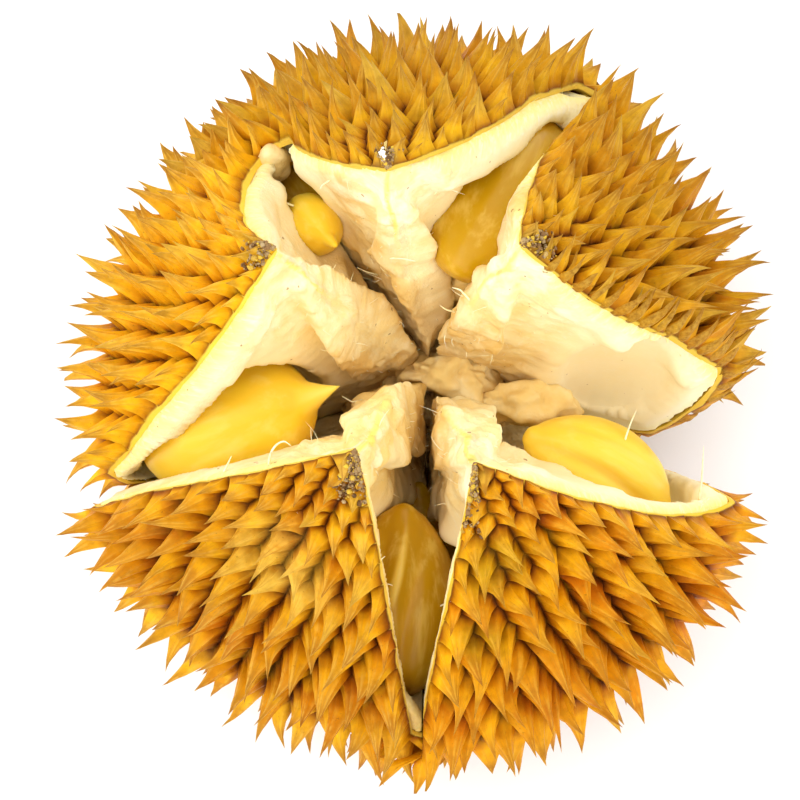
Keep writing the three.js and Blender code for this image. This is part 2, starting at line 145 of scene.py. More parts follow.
def skin(u):
    """Radius and height of the skin, and its normal's."""
    u = np.asarray(u, float)
    r, z = outline(u)
    (r0, z0), (r1, z1) = outline(np.maximum(0, u - 0.004)), outline(np.minimum(1, u + 0.004))
    length = np.hypot(r1 - r0, z1 - z0)
    return r, z, (z1 - z0) / length, -(r1 - r0) / length


ARC_STEPS = 400
ARC_SHARES = np.arange(ARC_STEPS + 1) / ARC_STEPS
ARC = np.concatenate([[0], np.cumsum(np.hypot(*np.diff(outline(ARC_SHARES))))])  # the length up to each


def u_at(length):
    return float(np.interp(length, ARC, ARC_SHARES))


def half_width(side, u):
    t = np.maximum(0, 1 - np.asarray(u, float) / WIDTH_SHARES[-1])
    width = np.interp(u, WIDTH_SHARES[::-1], side["widths"][::-1])
    return RAD * (width + (side["seam"] - side["widths"][-1]) * t + JOINED * t * t)


def reach(valve, u):
    """How far round a valve reaches to the left and to the right of its middle, in radians."""
    return half_width(valve["left"], u), half_width(valve["right"], u)


def flat_at(valve, share):
    """How much nearer than the outline the skin is."""
    side = 2 * np.asarray(share, float) - 1
    drawn = np.where(side > 0, valve["left"]["drawn"], valve["right"]["drawn"])
    return 1 - FLATTENING * (1 - side ** 2) - drawn * side ** 2


def skin_point(valve, u, share, height):
    """Points of a valve in the closed fruit, as an array of x, y, z in millimetres."""
    r, z, nr, nz = skin(u)
    left, right = reach(valve, u)
    psi = np.asarray(share, float) * (left + right) - right
    radius = np.maximum(r * flat_at(valve, share) + height * nr, 0.5)
    return np.stack(np.broadcast_arrays(radius * np.cos(psi), radius * np.sin(psi), z + height * nz), -1)


def turn(degrees, axis):
    return Matrix.Rotation(degrees * RAD, 4, axis)


def shift(x, z):
    return Matrix.Translation((x, 0, z))


def opening(valve):
    """How a valve of the closed fruit has swung open about its hinge, and rolled."""
    swing = turn(valve["azimuth"], "Z") @ shift(HINGE_RADIUS + valve["shift"], HINGE_Z)
    swing = swing @ turn(valve["tilt"], "Y") @ shift(-HINGE_RADIUS, ROLL_Z - HINGE_Z)
    return swing @ turn(valve["roll"], "X") @ shift(0, -ROLL_Z)


def moved(points, matrix):
    m = np.array(matrix)
    return points @ m[:3, :3].T + m[:3, 3]


def polar(points):
    """Radius and azimuth."""
    return np.hypot(points[:, 0], points[:, 1]), np.arctan2(points[:, 1], points[:, 0])


for i, valve in enumerate(VALVES):
    valve["left"], valve["right"] = table(SIDE, valve["sides"])
    valve["seams"] = (SEAMS[i], SEAMS[(i + 1) % len(SEAMS)])
    valve["left"]["seam"] = (valve["seams"][0] - valve["azimuth"]) % 360
    valve["right"]["seam"] = (valve["azimuth"] - valve["seams"][1]) % 360
    valve["open"] = opening(valve)
    valve["shut"] = valve["open"].inverted()
    valve["seed"] = 20 * (i + 1)


# ---- Noise ----

def lattice(ix, iy, iz, seed):
    h = (ix * 374761393 + iy * 668265263 + iz * 1440662683 + seed * 974634777) & 0xFFFFFFFF
    h = ((h ^ (h >> 13)) * 1274126177) & 0xFFFFFFFF
    return ((h ^ (h >> 16)) & 0xFFFF) / 65535.0


def noise(points, scale, seed):
    """Smooth noise from -1 to 1 with features about scale millimetres across."""
    q = points / scale
    base = np.floor(q).astype(np.int64)
    f = q - base
    f = f * f * (3 - 2 * f)
    total = np.zeros(len(points))
    for corner in itertools.product((0, 1), repeat=3):
        w = np.prod(np.where(np.array(corner, bool), f, 1 - f), axis=1)
        total += w * lattice(*(base + corner).T, seed)
    return 2 * total - 1


def noise_vector(points, scale, seed):
    return np.stack([noise(points, scale, seed + k) for k in range(3)], 1)


def smooth(lo, hi, x):
    t = np.clip((x - lo) / (hi - lo), 0, 1)
    return t * t * (3 - 2 * t)


def unit(vectors):
    return vectors / np.linalg.norm(vectors, axis=-1, keepdims=True)


# ---- Meshes ----

def add_object(name, data):
    o = bpy.data.objects.new(name, data)
    bpy.context.scene.collection.objects.link(o)
    return o


def for_each(value, points):
    """A value for each point, from one number or from as many numbers or vectors."""
    return np.full(len(points), value, float) if np.ndim(value) == 0 else np.asarray(value, float)


def make_object(name, points, faces, sharp=(), **attributes):
    """A mesh object from millimetre points, kept inside the CAD's box. Sharp holds the vertex pairs of crisp
    edges, and an attribute is one number, or a number or vector for each point."""
    points = np.clip(points, np.array(CAD_LO) / MM, np.array(CAD_HI) / MM)
    mesh = bpy.data.meshes.new(name)
    mesh.from_pydata((points * MM).tolist(), [], [list(map(int, f)) for f in faces])
    mesh.validate()
    for label, value in attributes.items():
        values = for_each(value, points).astype(np.float32)
        kind, field = ("FLOAT", "value") if values.ndim == 1 else ("FLOAT_VECTOR", "vector")
        mesh.attributes.new(label, kind, "POINT").data.foreach_set(field, values.ravel())
    mesh.shade_smooth()
    if len(sharp):
        ends = np.zeros(len(mesh.edges) * 2, np.int64)
        mesh.edges.foreach_get("vertices", ends)
        pairs = [np.sort(np.reshape(p, (-1, 2)), 1) @ [len(points), 1] for p in (ends, sharp)]
        mesh.attributes.new("sharp_edge", "BOOLEAN", "EDGE").data.foreach_set("value", np.isin(*pairs))
    return add_object(name, mesh)


class Bundle:
    """Gathers points with their attribute values, and faces, for one mesh."""

    def __init__(self):
        self.points, self.faces, self.values, self.count = [], [], {}, 0

    def join(self, faces, first):
        """Adds faces that count their vertices from number first."""
        self.faces += [[first + v for v in face] for face in faces]

    def add(self, points, faces=(), **values):
        """Adds points and the faces between them, and returns the number of the first point."""
        self.join(faces, self.count)
        self.points.append(points)
        self.count += len(points)
        for label, value in values.items():
            self.values.setdefault(label, []).append(for_each(value, points))
        return self.count - len(points)

    def all_points(self):
        return np.concatenate(self.points)

    def build(self, name, points=None, sharp=(), **more):
        values = {label: np.concatenate(parts) for label, parts in self.values.items()}
        points = self.all_points() if points is None else points
        return make_object(name, points, self.faces, sharp, **values, **more)


def closed_rings(rows, columns):
    """Faces between rows of columns vertices, closed by two more: the first row's end and the last row's."""
    faces = []
    for k in range(columns):
        p = (k + 1) % columns
        for i in range(0, (rows - 1) * columns, columns):
            faces.append((i + k, i + p, i + columns + p, i + columns + k))
        faces.append((rows * columns, p, k))
        faces.append((rows * columns + 1, (rows - 1) * columns + k, (rows - 1) * columns + p))
    return faces


def turns(count):
    """Angles of equal steps once round."""
    return np.arange(count) / count * 2 * np.pi


def resample(rows, steps):
    """So many rows at even steps along the given ones."""
    s = np.linspace(0, len(rows) - 1, steps)
    return np.stack([np.interp(s, range(len(rows)), column) for column in np.transpose(rows)], 1)


def revolve(r, z, columns):
    """Points and faces of a body of revolution about z, closed at its first and last radius, which are 0."""
    a = turns(columns)
    rings = np.stack([np.outer(r, np.cos(a)), np.outer(r, np.sin(a)), np.repeat(z[:, None], columns, 1)], -1)
    return np.vstack([*rings[1:-1], rings[0, :1], rings[-1, :1]]), closed_rings(len(r) - 2, columns)


def dress(o, material, slot, *nodes):
    o.data.materials.append(material)
    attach(o, "root")
    if nodes:
        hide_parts(*nodes)
    return o


def seam_normals(valve):
    for azimuth, sign in zip(valve["seams"], (1, -1)):
        d = SEAM_REACH * np.array([math.cos(azimuth * RAD), math.sin(azimuth * RAD)]) - CORE
        yield sign * unit(np.array([-d[1], d[0]]))


def keep_in_sector(points, valve, gap=SEAM_GAP):
    """Presses what passes a seam of the valve, or the ground, flat against it."""
    out = points.copy()
    for n in [*seam_normals(valve)] * 3:  # what one seam presses back may pass the other
        past = np.maximum((out[:, :2] - CORE) @ n + gap, 0)
        out[:, :2] -= past[:, None] * n
    out[:, 2] = np.maximum(out[:, 2], GROUND_CLEARANCE)
    return out


# ---- Rind ----

SEGMENT = 2.1  # about the length of a step along a valley
RINGS = [0.07, 0.17, 0.3, 0.45, 0.61, 0.77, 0.9]  # of a spine, as shares of its height
SHELL = 1.5
HOOKED = "right"  # the valve whose right edge carries hooked, flattened spines
HOOKED_ROWS = (0.25, 0.95)
HOOK_BEND = 6.5
HOOK_DROOP = 2.5
LEAST_LEAN, LEAN_GAIN = 0.3, 1.5
CROWN_LENGTH, LENGTH_GAIN = 0.8, 0.26  # the spines at the crown are shorter by the gain
MOST_WORN = 0.9
LEAST_PLUMP, PLUMP_GAIN = 0.45, 0.45
DEEPEST_HOLLOW = 0.2  # of a flank between two ridges
TIP_HEIGHT = 0.95
TORN_ROOT, TORN_SPINE = 60, 30  # how fast the torn look fades from the edges, on the skin and on spines
FIN_TOP, FIN_BOTTOM = 0.945, 0.4  # shares of the skin's length between which the fins stand
FIN_EDGE = 0.022
FIN_SPACING = 6.9


def spine_rows(valve):
    def spacing(s):
        full = min(1, FULL_SOON * math.sin(math.pi * s / ARC[-1]))
        return SPINE_SPACING * (END_SHRINK + (1 - END_SHRINK) * full)

    levels, rows = [FIRST_LEVEL], []
    s, end = ARC[round(FIRST_LEVEL * ARC_STEPS)], ARC[math.floor(LAST_LEVEL * ARC_STEPS + 0.5)]
    while s < end:
        height = min(ROW_RATIO * spacing(s), end - s)
        middle = u_at(s + height / 2)
        across = float(skin(middle)[0] * sum(reach(valve, middle)))
        count = max(1, math.floor(across / spacing(s + height / 2) + 0.5))
        if len(rows) % 2:
            inner = [(k + 0.5) / count for k in range(count)]
        else:
            inner = [k / count for k in range(1, count)]
        s += height
        levels.append(u_at(s))
        rows.append({"cuts": [0, *inner, 1], "middle": middle, "height": height, "pitch": spacing(s),
                     "width": across})
        if end - s < 2:
            break
    return levels, rows


def valley_corners(levels, rows, seed):
    """Where the valleys meet, as a flat list of [u, share], and along each level as (share, number)."""
    flat, corners = [], []
    for j, u in enumerate(levels):
        below = rows[j - 1]["cuts"] if j > 0 else []
        above = rows[j]["cuts"] if j < len(rows) else []
        shares = sorted(set(below) | set(above))
        step = levels[j + 1] - u if j < len(rows) else u - levels[j - 1]
        line = []
        for k, share in enumerate(shares):
            at = [u, share]
            if 0 < j < len(rows) and 0 < k < len(shares) - 1:
                side = (share in above) - (share in below)
                at[0] += (HONEYCOMB_SHIFT * side + vary(SPREAD["up"], j + seed, k, 1)) * step
                at[1] += vary(SPREAD["side"], j + seed, k, 2) / len(shares)
            line.append((share, len(flat)))
            flat.append(at)
        corners.append(line)
    return flat, corners


def valley_cells(valve):
    """The vertices along the valleys as [u, share], and the cell of each spine: its row and number, its row's
    sizes, its shares across, the loop of vertices round its foot, and how far each is along which valley."""
    levels, rows = spine_rows(valve)
    flat, corners = valley_corners(levels, rows, valve["seed"])
    corner_xyz = skin_point(valve, *np.array(flat).T, 0)
    between = {}

    def edge(a, b):
        """Vertices from corner a up to, not including, corner b; both spines beside it share them."""
        key = (min(a, b), max(a, b))
        if key not in between:
            n = max(1, round(np.linalg.norm(corner_xyz[a] - corner_xyz[b]) / SEGMENT))
            first, last = np.array(flat[key[0]]), np.array(flat[key[1]])
            between[key] = [len(flat) + i for i in range(n - 1)]
            flat.extend([*(first + (last - first) * i / n)] for i in range(1, n))
        made = between[key]
        return [a, *(made if a < b else made[::-1])]

    cells = []
    for j, row in enumerate(rows):
        for k, (lo, hi) in enumerate(zip(row["cuts"], row["cuts"][1:])):
            ring = [v for s, v in corners[j] if lo <= s <= hi]
            ring += [v for s, v in corners[j + 1] if lo <= s <= hi][::-1]
            loop, on_edge, which = [], [], []
            for m, (a, b) in enumerate(zip(ring, ring[1:] + ring[:1])):
                part = edge(a, b)
                loop += part
                on_edge += [i / len(part) for i in range(len(part))]
                which += [m] * len(part)
            cells.append((j + valve["seed"], k, row, lo, hi, loop, np.array(on_edge), which))
    return np.array(flat), cells


def spine_axis(valve, row, k, i, lo, hi):
    """Foot, upright, droop and sideways bend of a spine, and the point inside the skin under its foot."""
    wide = min(1, (hi - lo) * row["width"] / row["height"])
    grown = NARROW_SIZE + (1 - NARROW_SIZE) * wide
    size = row["pitch"] / SPINE_SPACING * grown * (1 + vary(SPREAD["size"], i, k, 3))
    length = size * (1 + vary(SPREAD["length"], i, k, 11))
    length *= CROWN_LENGTH + LENGTH_GAIN * smooth(0.95, 0.7, row["middle"])
    share = (lo + hi) / 2 + (hi - lo) * vary(SPREAD["tip"], i, k, 4)
    foot, top, back = (skin_point(valve, row["middle"], share, h) for h in (0, SPINE_LENGTH * length, -SHELL))
    up = top - foot
    low = unit(skin_point(valve, row["middle"] - 0.01, share, 0) - foot)
    across = unit(np.cross(up, low))
    droop = low * SPINE_LEAN * size * (LEAST_LEAN + LEAN_GAIN * frac_hash(i, k, 9))
    droop += across * vary(SPREAD["droop"], i, k, 6) * size
    if valve["name"] == HOOKED and lo == 0 and HOOKED_ROWS[0] < row["middle"] < HOOKED_ROWS[1]:
        inward = skin_point(valve, row["middle"], share + 0.02, 0) - foot
        droop = across * math.copysign(HOOK_BEND, across @ inward) - HOOK_DROOP * low
    over, under = (moved(p[None], valve["open"])[0, 2] - GROUND_CLEARANCE for p in (foot + up + droop, foot))
    if over < 0:  # worn off where it would reach below the ground
        worn = 1 - min(MOST_WORN, over / (over - under))
        up, droop = up * worn, droop * worn
    return foot, up, droop, across * vary(SPREAD["bend"], i, k, 5) * size, back


def streak_place(angle, radius, along):
    """Where round and along a spine its streaks are read."""
    return np.stack([np.cos(angle) * radius, np.sin(angle) * radius, np.full(len(angle), along)], 1)


def rind(valve):
    """The spiny skin of a valve as one closed shell: hexagonal spines with hollow flanks and crisp ridges."""
    seed = valve["seed"]
    flat, cells = valley_cells(valve)
    outer = skin_point(valve, *flat.T, 0)
    outer += 0.5 * noise_vector(outer, 6, seed + 3)
    shell = skin_point(valve, *flat.T, -SHELL)
    bundle, sharp, open_edges = Bundle(), [], {}
    rim = np.clip(1 - np.minimum(flat[:, 1], 1 - flat[:, 1]) * TORN_ROOT, 0, 1)
    for points, torn in ((outer, rim), (shell, 1)):
        bundle.add(points, height=0, tone=0.5, ridge=0, torn=torn, streak=points * 0.2)
    for i, k, row, lo, hi, loop, on_edge, which in cells:
        foot, up, droop, bend, back = spine_axis(valve, row, k, i, lo, hi)
        bow = 1.6 if valve["name"] == HOOKED and lo == 0 else 2
        n, own = len(loop), 7.3 * (i * 31 + k)
        depth = np.array([DEEPEST_HOLLOW * frac_hash(i * 7 + k, m, 10) ** 1.5 for m in which])
        plump = LEAST_PLUMP + PLUMP_GAIN * frac_hash(i, k, 8)
        same = {"tone": frac_hash(i, k, 7), "torn": max(0, 1 - min(lo, 1 - hi) * TORN_SPINE) * 0.2}
        circles = [np.array(loop)]
        for s in RINGS:
            w = plump * (1 - s) + (1 - plump) * (1 - s) ** 2.6
            hollow = 1 - depth * np.sin(np.pi * on_edge) * math.sin(math.pi * min(1, s * 1.3)) ** 0.7
            axis = foot + up * s + droop * s ** bow + bend * (s ** 2 - s ** 3) * 3
            first = bundle.add(axis + (outer[loop] - foot) * (w * hollow)[:, None], height=s,
                               ridge=np.abs(2 * on_edge - 1) ** 3,
                               streak=streak_place(turns(n), 2.2, s * 0.9 + own), **same)
            circles.append(first + np.arange(n))
        apex = bundle.add((foot + up + droop)[None], height=1, ridge=1, streak=[[0, 0, 0.9 + own]], **same)
        centre = bundle.add(back[None], height=0, ridge=0, streak=[[0, 0, 0]], **same)
        follow = np.roll(np.arange(n), -1)
        for low_ring, high_ring in zip(circles, circles[1:]):
            bundle.faces += np.stack([low_ring, low_ring[follow], high_ring[follow], high_ring], 1).tolist()
        top, inside = circles[-1], circles[0] + len(flat)
        for q, p in enumerate(follow):
            bundle.faces += [(top[q], top[p], apex), (inside[p], inside[q], centre)]
            if open_edges.pop((loop[p], loop[q]), None) is None:
                open_edges[loop[q], loop[p]] = True
        for q in np.nonzero(on_edge == 0)[0]:  # the ridges, from the valley corners to the tip
            line = [c[q] for c in circles[1:]] + [apex]
            sharp += [*zip(line, line[1:])]
        sharp += [*zip(circles[0], circles[0][follow])]
    for a, b in open_edges:  # the torn edges all round
        bundle.faces.append((b, a, a + len(flat), b + len(flat)))
        sharp.append((a + len(flat), b + len(flat)))
    points, height = bundle.all_points(), np.concatenate(bundle.values["height"])
    points += 0.2 * noise_vector(points, 2.2, seed) * (0.35 + 0.65 * (height < TIP_HEIGHT))[:, None]
    world = moved(points, valve["open"])
    free = smooth(0.12, 0.45, height)[:, None]  # the spines' upper parts reach over the seams
    held = keep_in_sector(world, valve)
    world = held + free * (world - held)
    world[:, 2] = np.maximum(world[:, 2], GROUND_CLEARANCE)
    return bundle.build(f"rind_{valve['name']}_skin", world, sharp, warm=valve["warm"])


def fins(valve):
    """The row of dry, flattened, hooked spines along the torn right edge of a valve, as closed blades."""
    sides, rows = 14, 12
    a = turns(sides)
    bundle = Bundle()
    s, k = ARC[-1] * FIN_TOP, 0
    while s > ARC[-1] * FIN_BOTTOM:
        u, own = u_at(s), 5.3 * k
        grown = 0.62 + 0.5 * smooth(0.95, 0.62, u) + vary(0.2, k, 1, 40)
        foot = skin_point(valve, u, FIN_EDGE, -1.2)
        out = unit(skin_point(valve, u, FIN_EDGE, 1) - foot)
        away = unit(skin_point(valve, u, 0.1, 0) - skin_point(valve, u, 0, 0))
        along = np.cross(out, away)
        far, hook = 12 * grown, (11 + vary(3, k, 2, 41)) * grown
        sway = along * vary(5, k, 3, 42)
        first = bundle.count
        for t in np.arange(rows) / (rows - 0.5):
            axis = foot + out * far * (t - 0.12 * t ** 2) + away * hook * (t ** 2.2 - 0.3 * t) + sway * t ** 2
            wide, thick = 2.8 * grown * (1 - t) ** 0.8, 1.9 * grown * (1 - t) ** 0.9
            belly = np.sin(a) * thick * np.where(np.sin(a) > 0, 1.2, 0.7)
            bundle.add(axis + np.outer(np.cos(a) * wide, along) + np.outer(belly, away), height=t,
                       dry=smooth(0.5, -0.6, np.sin(a)) * smooth(1.05, 0.6, t) * 0.9 + 0.1,
                       ridge=np.abs(np.cos(a)) ** 6, streak=streak_place(a, 2, t + own))
        tip = foot + out * far * 0.88 + away * hook * 0.7 + sway
        bundle.add(np.array([foot, tip]), height=[0, 1], dry=[1, 0.5], ridge=[0, 1],
                   streak=[[0, 0, own], [0, 0, 1 + own]])
        bundle.join(closed_rings(rows, sides), first)
        s -= FIN_SPACING * (0.75 + 0.3 * grown)
        k += 1
    points = bundle.all_points()
    points += 0.3 * noise_vector(points, 2, 71)
    return bundle.build(f"fins_{valve['name']}", moved(points, valve["open"]), tone=0.4, warm=0.6)


# ---- Crust: crumbs at the blossom end of each valve ----

MOULD = [70, 0.95, 0.54, 0.72]  # the white patch among the back valve's crumbs, written as a valve's crust is


def icosahedron():
    g = (1 + 5 ** 0.5) / 2
    points = np.array([(-1, g, 0), (1, g, 0), (-1, -g, 0), (1, -g, 0), (0, -1, g), (0, 1, g),
                       (0, -1, -g), (0, 1, -g), (g, 0, -1), (g, 0, 1), (-g, 0, -1), (-g, 0, 1)], float)
    faces = [(0, 11, 5), (0, 5, 1), (0, 1, 7), (0, 7, 10), (0, 10, 11), (1, 5, 9), (5, 11, 4), (11, 10, 2),
             (10, 7, 6), (7, 1, 8), (3, 9, 4), (3, 4, 2), (3, 2, 6), (3, 6, 8), (3, 8, 9), (4, 9, 5),
             (2, 4, 11), (6, 2, 10), (8, 6, 7), (9, 8, 1)]
    return unit(points), faces


def crust(valve, white=False):
    """Crumbs of the withered flower scar, heaped between the last spines of a valve."""
    round_crumb, faces = icosahedron()
    count, low, first, last = MOULD if white else valve["crust"]
    rng = np.random.default_rng(valve["seed"] + (900 if white else 0))
    bundle = Bundle()
    for k in range(count):
        u = low + (LAST_LEVEL - low) * rng.random() ** 0.8
        share = np.clip(first + (last - first) * rng.random(), 0.02, 0.98)
        size = (0.26 + 0.6 * rng.random() ** 2.5) * (0.8 if white else 1)
        at = skin_point(valve, u, share, rng.random() ** 1.3 * 3.6 + (1.6 if white else 0.1))
        crumb = round_crumb * (size * (0.65 + 0.7 * rng.random(3)))
        crumb *= 1 + 0.35 * noise(round_crumb * 3 + k * 5.1, 1.1, k)[:, None]
        crumb = moved(at + crumb, valve["open"])
        crumb[:, 2] -= max(0, crumb[:, 2].max() - CAD_HI[2] / MM + 0.3 + 2.2 * rng.random())
        bundle.add(crumb, faces, tone=rng.random())
    return bundle.build(f"crust_{valve['name']}" + ("_white" if white else ""),
                        keep_in_sector(bundle.all_points(), valve))


# ---- Pith ----

PROFILE_U = np.linspace(0.01, 0.995, 300)
PROFILE = np.array(skin(PROFILE_U)).T  # r, z, nr, nz
VOXEL = 1.22
LINING_OUT = 1.6  # how far a locule's lining stands out, and on the hooked valve
HOOKED_LINING_OUT = 3


def up_at(z):
    """The share of the way up at heights z, short of both ends."""
    return np.clip(np.interp(z, PROFILE[:, 1], PROFILE_U), 0.02, 0.98)


def depth_of(valve, closed):
    """Depth below the skin, nearest point of the profile and azimuth of points of the closed fruit."""
    radius, psi = polar(closed)
    left, right = reach(valve, up_at(closed[:, 2]))
    share = np.clip((psi + right) / (left + right), 0, 1)
    share = 0.5 + (share - 0.5) * smooth(175, 110, np.abs(psi) / RAD)  # even past the fruit's axis
    r, z = radius / flat_at(valve, share), closed[:, 2]
    best, at = np.full(len(r), 1e9), np.zeros(len(r), int)
    for k, p in enumerate(PROFILE):
        d = (r - p[0]) ** 2 + (z - p[1]) ** 2
        nearer = d < best
        best[nearer], at[nearer] = d[nearer], k
    p = PROFILE[at]
    return -((r - p[:, 0]) * p[:, 2] + (z - p[:, 1]) * p[:, 3]), p, psi


def in_locule(valve, closed):
    """How far points of the closed fruit are into the nearer locule: under 1 inside it."""
    best = np.full(len(closed), 9.0)
    for side, sign in EDGES:
        angle, r, z, out, up, into = valve[side]["locule"]
        a = sign * angle * RAD
        x = closed[:, 0] * math.cos(a) + closed[:, 1] * math.sin(a) - r
        y = -closed[:, 0] * math.sin(a) + closed[:, 1] * math.cos(a)
        best = np.minimum(best, np.sqrt((x / out) ** 2 + (y / into) ** 2 + ((closed[:, 2] - z) / up) ** 2))
    return best


def read(items, field, width=1):
    """One field of a mesh's vertices, or of an attribute, as an array."""
    values = np.zeros(len(items) * width)
    items.foreach_get(field, values)
    return values if width == 1 else values.reshape(-1, width)


def remesh(source):
    """A CAD node as an even fine mesh: world points in millimetres, faces and normals."""
    o = add_object("source", source.data.copy())
    o.modifiers.new("weld", "WELD").merge_threshold = 1e-6
    m = o.modifiers.new("remesh", "REMESH")
    m.mode, m.voxel_size = "VOXEL", VOXEL * MM
    m = o.modifiers.new("smooth", "SMOOTH")
    m.factor, m.iterations = 0.5, 2
    done = o.evaluated_get(bpy.context.evaluated_depsgraph_get()).to_mesh()
    points, normals = (read(done.vertices, field, 3) for field in ("co", "normal"))
    faces = [tuple(p.vertices) for p in done.polygons]
    bpy.data.objects.remove(o)
    return points / MM, faces, normals


def edge_lip(valve, closed, radius, psi, depth):
    """Azimuths of a valve's points once its cut band stands out past the skin, or falls back under it."""
    u = up_at(closed[:, 2])
    for side, sign in EDGES:
        size = valve[side]["lip"]
        inside = (half_width(valve[side], u) - sign * psi) * radius
        if size < 0:
            lip = size * smooth(4, 9.5, depth) * smooth(34, 24, depth)
        else:
            lip = 1 + size * smooth(0.5, 4, depth) * smooth(17, 9, depth)
        held = smooth(5 if size > 0 else 13, 1, inside) * smooth(0.4, 0.6, u)
        held *= smooth(8, 18, radius) * smooth(150, 120, np.abs(psi) / RAD)
        psi = psi + sign * lip * held / np.maximum(radius, 10)
    return psi


def pith(valve):
    """The pale inside of a valve, from just under the skin to the torn core."""
    points, faces, normals = remesh(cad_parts[f"pith_{valve['name']}"])
    seed = valve["seed"] + 500
    closed = moved(points, valve["shut"])
    depth, p, psi = depth_of(valve, closed)
    # The thin skin here leaves room that the CAD's thick one doesn't, so the band under it moves out.
    out = np.clip((BAND_DEPTH - depth) / (BAND_DEPTH - CAD_RIND_DEPTH), 0, 1.15) * (CAD_RIND_DEPTH - 1.1)
    closed += out[:, None] * np.stack([p[:, 2] * np.cos(psi), p[:, 2] * np.sin(psi), p[:, 3]], 1)
    depth = depth - out
    lining = smooth(1.45, 0.98, in_locule(valve, closed)) * smooth(4, 8, depth)
    radius = polar(closed)[0]
    psi = edge_lip(valve, closed, radius, psi, depth)
    closed[:, 0], closed[:, 1] = radius * np.cos(psi), radius * np.sin(psi)
    core = smooth(36, 12, radius) * (1 - 0.6 * lining)
    rough = (0.3 + 0.9 * core) * (1 - 0.75 * lining)
    inner = core * smooth(3, 9, depth) * (1 if valve["name"].startswith("front") else 0.3)
    # Fibres run out from the core, so the relief is drawn out along the radius.
    grain = np.stack([radius * 0.22, np.sin(psi) * np.maximum(radius, 12), closed[:, 2]], 1)
    swell = 0.35 + (HOOKED_LINING_OUT if valve["name"] == HOOKED else LINING_OUT) * lining
    swell += np.maximum(noise(closed, 3.6, seed + 40) - 0.25, 0) * 1.3 * inner
    swell += noise(grain * [0.7, 1, 1], 2.1, seed + 47) * 0.9 * inner
    swell += noise(grain, 3.4, seed + 5) * 0.45 * rough
    swell += np.maximum(noise(grain * [0.6, 1, 1], 4, seed + 9), 0) ** 1.5 * 1.6 * core
    points = moved(closed, valve["open"]) + normals * swell[:, None]
    for size, number, much in ((10, 0, 0.7 * rough), (17, 44, 3.2 * smooth(0.25, 0.8, inner)),
                               (2.4, 12, 0.16 * rough)):
        points += noise_vector(closed, size, seed + number) * much[:, None]
    # Near the fruit's axis the valves have torn apart raggedly.
    beyond = np.max([(points[:, :2] - CORE) @ n for n in seam_normals(valve)], axis=0)
    ragged = 1.6 + 1.5 * noise(points, 7, seed + 30) + 1.1 * noise(points, 2.8, seed + 31)
    torn = (0.1 + core) * smooth(30, 60, points[:, 2])
    world = keep_in_sector(points, valve, SEAM_GAP + np.maximum(ragged, 0.1) * torn)
    # The torn faces along the seams near the core are painted darker golden-brown: partly the tissue's own
    # colour, partly painted shade in the deep gaps.
    rift = smooth(-9, -2, beyond + 2 * noise(points, 6, seed + 33)) * smooth(0, 0.4, core)
    crest = np.abs(closed[:, 1] + 1.2 * noise(closed, 12, seed + 20))
    core = core * (1.4 if valve["name"] == "front_left" else 1)
    return make_object(f"pith_{valve['name']}_torn", world, faces, depth=depth, core=core, lining=lining,
                       honey=valve["honey"], rift=rift, crest=crest, grain=grain)


# ---- Pulp ----

# The lobes lie as in the CAD, but for pulp_front and pulp_back_left_lower, which are a little larger and lie
# further out and higher. Half is the half sizes along, across and through, point how pointed the inner end
# is, and the next how golden it is, darker still as painted shade for the lobes lying deep in the gaps. A
# crease is where across it lies, how deep (a ridge: below 0) and how wide.
PULP = table(("name", "azimuth", "r", "z", "slope", "half", "point", "tint", "creases"), [
    ("pulp_back_right", 66, 60, 90, 40, [41, 24, 19], 0.1, 0.86, [(-0.45, 0.06, 0.16), (0.3, 0.04, 0.1)]),
    ("pulp_right", -28, 61, 72, 24, [26, 18, 16], 0.15, 0.2, [(-0.05, 0.12, 0.13), (0.5, 0.04, 0.1)]),
    ("pulp_front", -96.5, 69, 79, 46, [37, 19, 16], 0.1, 0.95,
     [(-0.34, 0.12, 0.12), (0.3, 0.1, 0.14), (0, -0.09, 0.09)]),
    ("pulp_front_left", 193.5, 58, 80, 34, [34, 23, 19], 0.5, 0.35, [(0.35, 0.04, 0.14), (-0.5, 0.03, 0.12)]),
    ("pulp_back_left", 125, 57, 86, 56, [17, 9, 9], 0.5, 0.3, [(0.3, 0.05, 0.15)]),
    ("pulp_back_left_lower", 121.5, 69, 65, 30, [15, 12.5, 10], 0.1, 0.85, [(0, 0.04, 0.2)]),
    ("pulp_front_lower", -91, 47, 52, 40, [20, 15, 12], 0.2, 0.9, [(0, 0.04, 0.2)]),
])
TAPER = 0.12
POINT_TAPER = 0.45
DRAWN_OUT = "pulp_front_left"  # the lobe with a round inner end and a thin tip on it
TIP_LENGTH = 11.5


def sphere(columns, rows):
    """A unit sphere with its poles on the x axis, as points and faces."""
    a = np.pi * np.arange(rows + 1) / rows
    points, faces = revolve(np.sin(a), -np.cos(a), columns)
    return points[:, [2, 0, 1]], faces


